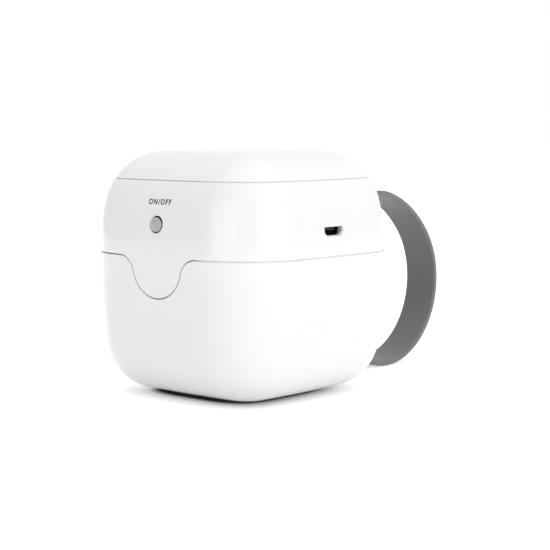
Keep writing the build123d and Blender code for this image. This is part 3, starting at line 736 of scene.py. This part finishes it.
def lidShell():
    top, blend = case["capSeam"] - case["capGap"], seam + lid["blend"]
    rings = [ring(0, wall)]
    for a in filletSteps():
        rings.append(ring(-edge * (1 - math.cos(a)), edge * (1 - math.sin(a))))
    rings += [ring(-edge, 0, blend, share) for share in between(0.0, 1.0, 9)[1:]]
    rings += [ring(-edge, 0, level) for level in between(blend, top - edge, 9)[1:]]
    for a in filletSteps()[1:]:
        rings.append(ring(0, edge * (1 - math.cos(a)), top - edge * (1 - math.sin(a))))
    rise = top + lap["capRise"]
    rings += [ring(0, lapDepth("cap"), top), ring(0, lapDepth("cap", 0.06), rise), ring(0, wall, rise)]
    rings += [ring(0, wall, level) for level in between(top, blend, 8)[1:]]
    rings += [ring(0, wall, blend, share) for share in (0.75, 0.5, 0.25)]
    shell = ringPiece("lidShell", rings, True)
    x, z = lid["buttonX"], lid["buttonZ"]
    skin = frontY(x, z)
    direction = skinAt((x, skin, z))[1]
    r, f = lid["buttonHole"], lid["flare"]
    hole = turned("hole", [(0, -1), (r, -1), (r, 4), (0, 4)], (x, skin, z), (0, 1, 0), 64)
    mouth = [(0, -1), (r - 0.1, -1), (r, -f), (r + 0.3 * f, -0.4 * f), (r + f, 0), (r + 2 * f, 0.6), (0, 0.6)]
    carve(shell, [hole, socketHole()] + [knuckleRoom(*s) for s in bothSides(hinge["baseStations"])])
    carve(shell, [turned("mouth", mouth, (x, skin, z), direction, 64)])
    posts = []
    for x, y in corners(lid["screws"]):
        post = turned("post", [(0, lid["boardTop"]), (2.5, lid["boardTop"]), (2.5, lid["postTop"]), (0, lid["postTop"])], (x, y, 0))
        angle = math.atan2(y, x)
        c, s, t = math.cos(angle), math.sin(angle), lid["ribs"] / 2
        far = corner * math.sqrt(2) + reach(45.0, wall / 2) - 0.4 - math.hypot(x, y)
        box = [(x + u * c - v * s, y + u * s + v * c) for u, v in ((0, -t), (far, -t), (far, t), (0, t))]
        rib = prism("rib", box, lid["boardTop"], lid["postTop"], upwards)
        carve(post, [rib], "UNION")
        drill = turned("drill", [(0, 30), (1.02, 30), (1.02, lid["postTop"]), (0, lid["postTop"])], (x, y, -0.6))
        posts.append(carve(post, [drill]))
    lugs = [lugPiece(1, start, width, seam, hinge["pin"] + 0.05) for start, width in bothSides(hinge["lidStations"])]
    return join(shell, posts + lugs)


finishPiece(lidShell(), "abs", "lid", ["lid_shell"], True)
print("lid shell made")


def plateRing(r, z):
    return [(cx + (extra + r) * nx, cy + (extra + r) * ny, z) for cx, cy, extra, nx, ny, _ in columns(0)]


def lidCap():
    low, skirt = case["capSeam"], reach(case["capSeam"], wall) - 0.2
    inner = roundLevels(wall, True, 8)
    rings = [ring(0, wall, level) for level in inner]
    rings.append(ring(0, wall, low))
    for a in filletSteps():
        rings.append(ring(0, edge * (1 - math.sin(a)), low + edge * (1 - math.cos(a))))
    levels = [z for z in reversed(roundLevels(0, True, 20)) if z > low + edge + 0.2]
    rings += [ring(0, 0, level) for level in levels]
    cap = ringPiece("lidCap", rings, False)
    rings = [plateRing(r, z) for r, z in ((skirt, low - 3.0), (skirt, low + 1.4), (skirt - 1.0, low + 1.4), (skirt - 1.0, low - 3.0))]
    return join(cap, [soften(ringPiece("skirt", rings, True), 0.2, 2)])


finishPiece(lidCap(), "abs", "lid", ["lid_cap"], True)
print("cap made")


# Strap: a flat band swept along the loop

strap = {"width": 10.0, "thickness": 1.5, "rise": 57.5, "turn": 2.55, "corner": 0.42,
         "arcs": [(16.817, -15.6), (33.497, -51.6), (21.71, -134.9), (23.232, -180.0), (20.837, -230.5)], "keep": 0.42}


def strapLine():
    heads = [strap["rise"]] + [h for _, h in strap["arcs"]]
    arcs = list(zip([r for r, _ in strap["arcs"]], heads, heads[1:]))
    arcs.append((strap["turn"], heads[-1], strap["rise"] - 360))
    along = lambda a: Vector((math.cos(math.radians(a)), math.sin(math.radians(a))))
    right = lambda a: Vector((math.sin(math.radians(a)), -math.cos(math.radians(a))))
    turnedBy = Vector((0, 0))
    for r, start, end in arcs:
        turnedBy += (right(start) - right(end)) * r
    up, back = along(heads[0]), along(heads[-1])
    det = up.x * back.y - up.y * back.x
    upLength = (turnedBy.y * back.x - turnedBy.x * back.y) / det
    backLength = (turnedBy.x * up.y - turnedBy.y * up.x) / det
    point = Vector((base["barY"], base["barZ"])) - right(strap["rise"]) * strap["turn"]
    line = [point + up * upLength * i / 12 for i in range(12)]
    point = point + up * upLength
    for r, start, end in arcs:
        if r == strap["turn"]:
            line += [point + back * backLength * i / 10 for i in range(10)]
            point = point + back * backLength
        centre = point + right(start) * r
        steps = max(6, int(abs(end - start) * r / 70))
        line += [centre - right(start + (end - start) * i / steps) * r for i in range(steps)]
        point = centre - right(end) * r
    return [(0.0, p.x, p.y) for p in line]


# A Geometry Nodes tree with named inputs, built the same way as the shaders
class Builder(Finish):
    def __init__(self, name, inputs):
        tree = bpy.data.node_groups.new(name, "GeometryNodeTree")
        self.sockets = {}
        tree.interface.new_socket("Geometry", in_out="INPUT", socket_type="NodeSocketGeometry")
        for label, kind, value in inputs:
            made = tree.interface.new_socket(label, in_out="INPUT", socket_type="NodeSocket" + kind)
            self.sockets[label] = (made.identifier, value)
        tree.interface.new_socket("Geometry", in_out="OUTPUT", socket_type="NodeSocketGeometry")
        super().__init__(name, tree)
        self.start = tree.nodes.new("NodeGroupInput")

    def given(self, label):
        return Signal(self, self.start.outputs[label])

    def close(self, shape):
        shape = self.node("GeometryNodeRealizeInstances", {}, {"Geometry": shape})
        shape = self.node("GeometryNodeSetMaterial", {}, {"Geometry": shape, "Material": self.given("Finish")})
        self.node("NodeGroupOutput", {}, {"Geometry": shape})

    def run(self, piece):
        modifier = piece.modifiers.new(self.tree.name, "NODES")
        modifier.node_group = self.tree
        for identifier, value in self.sockets.values():
            modifier[identifier] = value
        return settle(piece)


def strapBand():
    line = strapLine()
    count = len(line)
    path = meshPiece("strapBand", line, [])
    path.data.from_pydata([], [], [])
    path.data.clear_geometry()
    path.data.from_pydata(line, [(i, (i + 1) % count) for i in range(count)], [])
    sweep = Builder("strapSweep", [
        ("Width", "Float", strap["width"]), ("Thickness", "Float", strap["thickness"]),
        ("Corner", "Float", strap["corner"]), ("Finish", "Material", finishes["strap"]),
    ])
    curve = sweep.node("GeometryNodeMeshToCurve", {}, {"Mesh": sweep.given("Geometry")})
    curve = sweep.node("GeometryNodeSetCurveNormal", {"mode": "FREE"}, {"Curve": curve, "Normal": (1.0, 0.0, 0.0)})
    box = sweep.node("GeometryNodeCurvePrimitiveQuadrilateral", {},
                     {"Width": sweep.given("Width"), "Height": sweep.given("Thickness")})
    box = sweep.node("GeometryNodeFilletCurve", {"mode": "POLY"},
                     {"Curve": box, "Radius": sweep.given("Corner"), "Count": 5})
    sweep.close(sweep.node("GeometryNodeCurveToMesh", {}, {"Curve": curve, "Profile Curve": box}))
    return outwards(sweep.run(path))


band = finishPiece(strapBand(), "strap", "base", ["strap"])
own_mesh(band)
print("strap made")


# Chamber liner: a mirror-plated bowl with a flat back, a rim and four screw posts

bowl = {"outer": 4.0, "inner": 5.0, "floor": 8.6, "rim": 35.9, "rimThick": 1.2, "rimGap": 0.4, "back": 23.6,
        "backSoft": 0.7, "fillet": 2.4, "lip": 0.35, "postFoot": 5.05, "postRadius": 2.5, "bore": 1.02}


def bowlRing(r, z, back=None):
    points = plateRing(r, z)
    if back is None:
        return points
    soft = bowl["backSoft"]
    return [(x, back - soft * math.log1p(math.exp((back - y) / soft)), z) for x, y, z in points]


def baseLiner():
    under, floor, rim = bowl["floor"] - 1.0, bowl["floor"], bowl["rim"]
    rimZ, lip, fillet = rim - bowl["rimThick"], bowl["lip"], bowl["fillet"]
    plateEdge = reach(rimZ, wall) - bowl["rimGap"]
    low = reach(under, bowl["outer"])
    rings = [bowlRing(low - 0.5, under, bowl["back"]), bowlRing(low, under + 0.3, bowl["back"])]
    levels = between(under + 0.3, 14.0, 7)[1:] + between(14.0, rimZ, 8)[1:]
    rings += [bowlRing(reach(z, bowl["outer"]), z, bowl["back"]) for z in levels]
    rings += [bowlRing(plateEdge - 0.2, rimZ), bowlRing(plateEdge, rimZ + 0.2), bowlRing(plateEdge, rim - 0.2)]
    rings += [bowlRing(plateEdge - 0.06, rim - 0.06), bowlRing(plateEdge - 0.2, rim)]
    back = bowl["back"] - 1.0
    opening = reach(rim, bowl["inner"])
    for a in filletSteps():
        rings.append(bowlRing(opening + lip * (1 - math.sin(a)), rim - lip * (1 - math.cos(a)), back))
    levels = between(rim - lip, 16.0, 8)[1:] + between(16.0, floor + fillet, 6)[1:]
    rings += [bowlRing(reach(z, bowl["inner"]), z, back) for z in levels]
    end, start = reach(floor, bowl["inner"]), reach(floor + fillet, bowl["inner"])
    for i in range(1, 7):
        t = i / 6
        r = start * (1 - t) ** 2 + 2 * end * t * (1 - t) + (end - fillet) * t * t
        rings.append(bowlRing(r, floor + fillet * (1 - t) ** 2, back))
    made = ringPiece("baseLiner", rings, False)
    foot, radius, bore = bowl["postFoot"], bowl["postRadius"], bowl["bore"]
    profile = [(0, under), (bore, under), (bore, foot), (radius - 0.2, foot), (radius, foot + 0.2), (radius, under + 0.5), (0, under + 0.5)]
    return join(made, [turned("post", profile, (x, y, 0), steps=40) for x, y in corners(base["screws"])])


finishPiece(baseLiner(), "mirror", "base", ["base_liner"])
print("chamber liner made")


# Lid liner: a mirror-plated plate with the window's seat, its collar and four standoffs

tray = {"low": 36.7, "thick": 1.5, "edgeGap": 0.4, "opening": 8.5, "seat": 10.15, "seatUp": 1.0, "collar": 11.25,
        "collarUp": 0.7, "standoff": 2.5, "boardLow": 40.1, "head": 2.0, "headUp": 1.3, "shank": 1.1}


def lidLiner():
    low, top = tray["low"], tray["low"] + tray["thick"]
    r = reach(top, wall) - tray["edgeGap"]
    rings = [plateRing(r - 0.3, low), plateRing(r - 0.09, low + 0.09), plateRing(r, low + 0.3)]
    plate = ringPiece("lidLiner", rings + [plateRing(r, top - 0.2), plateRing(r - 0.2, top)], False)
    c, up = tray["collar"], top + tray["collarUp"]
    added = [turned("collar", [(0, low + 1.2), (c, low + 1.2), (c, up - 0.2), (c - 0.2, up), (0, up)], steps=96)]
    for x, y in corners(lid["screws"]):
        profile = [(0, low + 1.3), (tray["standoff"], low + 1.3), (tray["standoff"], tray["boardLow"]), (0, tray["boardLow"])]
        added.append(turned("standoff", profile, (x, y, 0), steps=40))
    carve(plate, added, "UNION")
    o, seat, z = tray["opening"], tray["seat"], low + tray["seatUp"]
    mouth = [(0, low - 1), (o + 0.45, low - 1), (o + 0.45, low), (o + 0.12, low + 0.14), (o, low + 0.4), (o, z), (seat, z)]
    tools = [turned("mouth", mouth + [(seat, up + 1), (0, up + 1)], steps=96)]
    h, k, z = tray["head"], tray["shank"], low + tray["headUp"]
    profile = [(0, low - 1), (h + 0.2, low - 1), (h + 0.2, low), (h, low + 0.2), (h, z), (k, z), (k, 45), (0, 45)]
    tools += [turned("room", profile, (x, y, 0), steps=40) for x, y in corners(lid["screws"])]
    return carve(plate, tools)


finishPiece(lidLiner(), "mirror", "lid", ["lid_liner"])
print("lid liner made")


# Screws: one with a cross recess and rolled threads, then a copy at each corner by Geometry Nodes

screw = {"head": 1.9, "headUp": 1.2, "shank": 1.0, "root": 0.82, "pitch": 0.4, "recess": (2.2, 0.5, 0.6)}


def screwPiece(length):
    head, up, shank, root, pitch = (screw[k] for k in ("head", "headUp", "shank", "root", "pitch"))
    profile = [(0, 0), (head - 0.55, 0), (head - 0.2, 0.1), (head - 0.04, 0.32), (head, 0.6), (head, up - 0.1), (head - 0.1, up), (shank, up)]
    z = up + 0.3
    while z + pitch < up + length - 0.3:
        profile += [(root, z), (shank, z + pitch * 0.45), (shank, z + pitch * 0.6)]
        z += pitch
    profile += [(root, z), (root - 0.25, up + length), (0, up + length)]
    made = turned("screw", profile, steps=28)
    long, across, deep = screw["recess"]
    slots = []
    for a, b in ((long, across), (across, long)):
        box = [(-a / 2, -b / 2), (a / 2, -b / 2), (a / 2, b / 2), (-a / 2, b / 2)]
        slots.append(prism("slot", box, -1, deep, upwards))
    cross = carve(slots[0], slots[1:], "UNION")
    return carve(made, [cross])


def copies(name, piece, points, finish, turn=0.0, seed=0):
    spots = meshPiece(name, points, [])
    tree = Builder(name + "Copies", [
        ("Piece", "Object", piece), ("Turn", "Float", turn), ("Seed", "Int", seed), ("Finish", "Material", finishes[finish]),
    ])
    around = tree.node("ShaderNodeCombineXYZ", {}, {"Z": tree.given("Turn")})
    turns = tree.node("FunctionNodeRandomValue", {"data_type": "FLOAT_VECTOR"}, {1: around, "Seed": tree.given("Seed")})
    shape = tree.node("GeometryNodeObjectInfo", {}, {"Object": tree.given("Piece")}, "Geometry")
    dots = tree.node("GeometryNodeMeshToPoints", {}, {"Mesh": tree.given("Geometry")})
    tree.close(tree.node("GeometryNodeInstanceOnPoints", {}, {"Points": dots, "Instance": shape, "Rotation": turns}))
    tree.run(spots)
    bpy.data.objects.remove(piece)
    return outwards(spots)


points = [(x, y, 1.9) for x, y in corners(base["screws"])]
baseScrews = copies("baseScrews", screwPiece(4.4), points, "steel", 6.283, 3)
finishPiece(baseScrews, "steel", "base", ["base_screws"], angle=40.0)
points = [(x, y, 36.8) for x, y in corners(lid["screws"])]
lidScrews = copies("lidScrews", screwPiece(12.0), points, "steel", 6.283, 8)
finishPiece(lidScrews, "steel", "lid", ["lid_screws"], angle=40.0)
print("screws made")


# Turned parts

def bar(name, radius, start, width, y, z, soft=0.2):
    profile = [(0, 0), (radius - soft, 0), (radius, soft), (radius, width - soft), (radius - soft, width), (0, width)]
    return turned(name, profile, (start, y, z), (1, 0, 0))


def disc(name, radius, front, thick, z, soft=0.15):
    profile = [(0, 0), (radius - soft, 0), (radius, soft), (radius, thick - soft), (radius - soft, thick), (0, thick)]
    return turned(name, profile, (0, front, z), (0, 1, 0), 64)


strapBar = bar("strapBar", base["barRadius"], -7.38, 14.76, base["barY"] - base["barSunk"], base["barZ"])
finishPiece(strapBar, "steel", "base", ["strap_bar"])
for side, start in (("left", -17.4), ("right", 7.0)):
    pin = bar("pin" + side.title(), hinge["pin"], start, 10.4, hinge["y"], seam, 0.15)
    finishPiece(pin, "steel", "base", ["hinge_pin_" + side])
inside = frontY(0, base["magnetZ"], wall)
finishPiece(disc("lidMagnet", 2.5, inside - 1.08, 1.0, base["magnetZ"]), "nickel", "lid", ["lid_magnet"])
inside = frontY(0, base["magnetZ"], wall + case["lidGap"])
finishPiece(disc("baseMagnet", 2.5, inside + 0.42, 1.0, base["magnetZ"]), "nickel", "base", ["base_magnet"])
seat = tray["low"] + tray["seatUp"]
glass = [(0, seat), (9.85, seat), (10, seat + 0.15), (10, seat + 0.85), (9.85, seat + 1), (0, seat + 1)]
finishPiece(turned("uvWindow", glass, steps=96), "quartz", "lid", ["uv_window"])
print("bars, magnets and window made")


# Power button: a domed cap on a flange

button = {"radius": 1.77, "proud": 0.5, "dome": 0.42, "full": 0.75, "flange": 2.8, "flangeY": 27.527, "flangeUp": 0.8}


def powerButton():
    r, dome = button["radius"], button["dome"]
    x, z = lid["buttonX"], lid["buttonZ"]
    front = frontY(x, z) - button["proud"]
    profile = [(0, 0)]
    for i in range(1, 17):
        a = math.pi / 2 * i / 16
        profile.append((r * math.sin(a), dome * (1 - math.cos(a) ** button["full"])))
    flange, back = -button["flangeY"] - front, -button["flangeY"] - front + button["flangeUp"]
    wide = button["flange"]
    profile += [(r, flange), (wide - 0.1, flange), (wide, flange + 0.1), (wide, back - 0.1), (wide - 0.1, back), (0, back)]
    return turned("powerButton", profile, (x, front, z), (0, 1, 0), 72)


finishPiece(powerButton(), "button", "button", ["power_button"], angle=50.0)


# Charging socket: folded metal shell with rounded corners, insert with five contacts

usb = {"depth": 5.6, "sheet": 0.3, "corner": 0.45, "insertBack": 1.2, "insert": (3.7, 0.7), "drop": 0.2, "short": 0.6}


def roundedOutline(points, radius, steps=5):
    made, count = [], len(points)
    for i in range(count):
        here, before, after = (Vector(points[k % count]) for k in (i, i - 1, i + 1))
        a, b = (before - here).normalized(), (after - here).normalized()
        half = a.angle(b) / 2
        away = radius / math.tan(half)
        centre = here + (a + b).normalized() * radius / math.sin(half)
        first, last = here + a * away - centre, here + b * away - centre
        for j in range(steps + 1):
            mix = first.slerp(last, j / steps) if first.angle(last) > 1e-6 else first
            made.append(tuple(centre + mix))
    return made


def socketRing(grow, x):
    radius = max(0.12, usb["corner"] + grow)
    return [(x, y, z) for y, z in roundedOutline(socketOutline(grow), radius)]


def usbShell():
    mouth, sheet, lip = lid["mouth"], usb["sheet"], 0.08
    back = mouth - usb["depth"]
    stages = [(0.0, back), (0.0, mouth - lip), (-lip, mouth), (lip - sheet, mouth), (-sheet, mouth - lip), (-sheet, back)]
    return ringPiece("usbShell", [socketRing(grow, x) for grow, x in stages], True)


def plank(name, x0, x1, width, z0, z1, soft, y=0.0):
    y += lid["socketY"]
    outline = [(y - width / 2, z0), (y + width / 2, z0), (y + width / 2, z1), (y - width / 2, z1)]
    return soften(prism(name, outline, x0, x1, sideways), soft, 2)


def usbInsert():
    mouth, back = lid["mouth"], lid["mouth"] - usb["depth"]
    block = ringPiece("usbInsert", [socketRing(-usb["sheet"] - 0.02, x) for x in (back, back + usb["insertBack"])], False)
    wide, thick = usb["insert"]
    top = lid["socketZ"] + 1.3 - usb["sheet"] - usb["drop"]
    return join(block, [plank("plank", back + 0.6, mouth - usb["short"], wide, top - thick, top, 0.1)])


finishPiece(usbShell(), "nickel", "lid", ["usb_shell"])
finishPiece(usbInsert(), "insert", "lid", ["usb_tongue"])
under = lid["socketZ"] + 1.3 - usb["sheet"] - usb["drop"] - usb["insert"][1]
strips = [plank("contact", 25.6, lid["mouth"] - 0.9, 0.38, under - 0.03, under + 0.05, 0.01, 0.65 * (i - 2)) for i in range(5)]
finishPiece(join(strips[0], strips[1:]), "brass", "lid").name = "usbContacts"
print("button and socket made")


# Foot pad and ultraviolet lamps

pad = soften(prism("footPad", roundedSquare(30.0, 7.0, 12), 0, 1.8, upwards), 0.3, 3)
finishPiece(pad, "pad", "base", ["foot_pad"])


def lampBody():
    body = soften(prism("lampBody", roundedSquare(3.5, 0.2, 3), -1.0, 0.0, upwards), 0.08, 2)
    hollow = [(0, -2), (1.42, -2), (1.42, -1.0), (1.25, -0.83), (1.25, -0.5), (0, -0.5)]
    return carve(body, [turned("hollow", hollow, steps=40)])


places = [(x, y, tray["boardLow"]) for x, y in corners(6.0)]
finishPiece(copies("uvLamps", lampBody(), places, "ceramic"), "ceramic", "lid", ["uv_leds"])
die = soften(prism("die", roundedSquare(1.0, 0.05, 2), -0.72, -0.45, upwards), 0.04, 2)
finishPiece(copies("uvDies", die, places, "die"), "die", "lid")
print("foot pad and lamps made")


# Lettering above the button: outlines laid on the lid's skin

lettering = {"text": "ON/OFF", "x": -0.05, "z": 49.42, "width": 7.55, "height": 1.34, "spread": 1.3, "weight": 0.034,
             "proud": 0.02, "deep": 0.04}


def letterPiece():
    words = bpy.data.curves.new("lettering", "FONT")
    words.body, words.extrude, words.resolution_u = lettering["text"], 0.5, 8
    words.space_character, words.offset = lettering["spread"], lettering["weight"]
    piece = bpy.data.objects.new("lettering", words)
    bpy.context.scene.collection.objects.link(piece)
    bpy.context.view_layer.update()
    mesh = bpy.data.meshes.new_from_object(piece.evaluated_get(bpy.context.evaluated_depsgraph_get()))
    bpy.data.objects.remove(piece)
    left, right = min(v.co.x for v in mesh.vertices), max(v.co.x for v in mesh.vertices)
    low, high = min(v.co.y for v in mesh.vertices), max(v.co.y for v in mesh.vertices)
    for v in mesh.vertices:
        x = lettering["x"] + ((v.co.x - left) / (right - left) - 0.5) * lettering["width"]
        z = lettering["z"] + ((v.co.y - low) / (high - low) - 0.5) * lettering["height"]
        v.co = (x, frontY(x, z) + (-lettering["proud"] if v.co.z > 0 else lettering["deep"]), z)
    made = bpy.data.objects.new("lettering", mesh)
    bpy.context.scene.collection.objects.link(made)
    return outwards(made)


finishPiece(letterPiece(), "ink", "lid")
print("lettering made")


# CAD nodes that keep their shape

carried = {
    "main_board": "board",
    "controller_chip": "chip", "charger_chip": "chip", "boost_inductor": "chip", "status_led": "ceramic",
    "hall_sensor": "chip", "battery": "foil", "tact_switch": "chip", "switch_plunger": "ceramic",
}
for name, finish in carried.items():
    nodes[name].data.materials.clear()
    nodes[name].data.materials.append(finishes[finish])
print("CAD nodes dressed")


# Camera, floor and light

camera = {"place": (0.26427, -0.28937, 0.06984), "heading": 41.214, "pitch": 5.868, "lens": 101.37}
heading, pitch = math.radians(camera["heading"]), math.radians(camera["pitch"])
look = Vector((-math.sin(heading) * math.cos(pitch), math.cos(heading) * math.cos(pitch), -math.sin(pitch)))
eye = bpy.data.objects.new("camera", bpy.data.cameras.new("camera"))
bpy.context.scene.collection.objects.link(eye)
eye.location = camera["place"]
eye.rotation_mode = "QUATERNION"
eye.rotation_quaternion = look.to_track_quat("-Z", "Y")
eye.data.lens, eye.data.sensor_width = camera["lens"], 36.0
eye.data.clip_start, eye.data.clip_end = 0.01, 20.0
bpy.context.scene.camera = eye
bpy.context.scene.view_settings.view_transform = "Standard"

floorSize = 3.0
floor = bpy.data.objects.new("floor", bpy.data.meshes.new("floor"))
bpy.context.scene.collection.objects.link(floor)
half = floorSize
floor.data.from_pydata([(-half, -half, 0), (half, -half, 0), (half, half, 0), (-half, half, 0)], [], [(0, 1, 2, 3)])
ground = Finish("paleFloor")
rays = ground.node("ShaderNodeLightPath", output="Is Camera Ray")
gloss = ground.node("ShaderNodeLightPath", output="Is Glossy Ray")
through = ground.node("ShaderNodeLightPath", output="Is Transmission Ray")
seen = ground.node("ShaderNodeMath", {"operation": "ADD", "use_clamp": True}, {0: rays + gloss, 1: through})
point = ground.node("ShaderNodeTexCoord", output="Object")
across, along = (ground.node("ShaderNodeSeparateXYZ", {}, {"Vector": point}, k) for k in range(2))


# Distance from the middle along rounded squares, like the case's outline
def awayFrom(offset):
    fourths = [ground.node("ShaderNodeMath", {"operation": "POWER"}, {0: part * part, 1: 2.0}) for part in (across + offset, along)]
    return ground.node("ShaderNodeMath", {"operation": "POWER"}, {0: fourths[0] + fourths[1], 1: 0.25})


away = awayFrom(0.0)
# Painted shadow: for seen rays the floor is coloured dark grey in a rounded square under the case, set 2.6 mm off to
# one side, fading to pale beyond it
contact = ground.spread(awayFrom(0.0026), 0.0163, 0.0188)
floorColour = ground.tint(seen, grey(0.95), ground.tint(contact, grey(0.1), grey(0.96)))
shade = ground.node("ShaderNodeBsdfDiffuse", {}, {"Color": floorColour})
# Glow for seen rays that rises with distance from the case: close to it this is painted light that shrinks the soft
# shadow; far off it keeps the floor evenly white
near, middle = ground.spread(away, 0.0145, 0.021, 0.0, 0.32), ground.spread(away, 0.021, 0.036, 0.0, 0.3)
far = ground.spread(away, 0.1, 0.5, 0.0, 0.5)
lift = ground.node("ShaderNodeEmission", {}, {"Color": grey(1.0), "Strength": seen * contact * (near + middle + far)})
both = ground.node("ShaderNodeAddShader", {}, {0: shade, 1: lift})
ground.node("ShaderNodeOutputMaterial", {}, {"Surface": both})
floor.data.materials.append(ground.material)

world = bpy.data.worlds.new("studio")
bpy.context.scene.world = world
world.use_nodes = True
world.node_tree.nodes.clear()
sky = Finish("studio", world.node_tree)
rays = sky.node("ShaderNodeLightPath", output="Is Camera Ray")
gloss = sky.node("ShaderNodeLightPath", output="Is Glossy Ray")
through = sky.node("ShaderNodeLightPath", output="Is Transmission Ray")
seen = sky.node("ShaderNodeMath", {"operation": "ADD", "use_clamp": True}, {0: rays + gloss, 1: through})
ambient = 0.55
air = sky.node("ShaderNodeBackground", {}, {"Color": grey(1.0), "Strength": ambient + seen * (1.0 - ambient)})
sky.node("ShaderNodeOutputWorld", {}, {"Surface": air})

lamps = {
    "rightSoftbox": {"at": (0.75, -0.05, 0.14), "size": 0.6, "power": 2.75},
    "frontFill": {"at": (0.1, -0.9, 0.14), "size": 0.7, "power": 1.75},
    "overhead": {"at": (0.05, 0.1, 0.9), "size": 0.8, "power": 3.2},
}
for name, lamp in lamps.items():
    light = bpy.data.lights.new(name, "AREA")
    light.energy, light.size = lamp["power"], lamp["size"]
    holder = bpy.data.objects.new(name, light)
    bpy.context.scene.collection.objects.link(holder)
    holder.location = lamp["at"]
    holder.visible_glossy = name != "overhead"
    holder.rotation_mode = "QUATERNION"
    holder.rotation_quaternion = (Vector((0, 0, 0.03)) - Vector(lamp["at"])).to_track_quat("-Z", "Y")
print("camera, floor and light set")
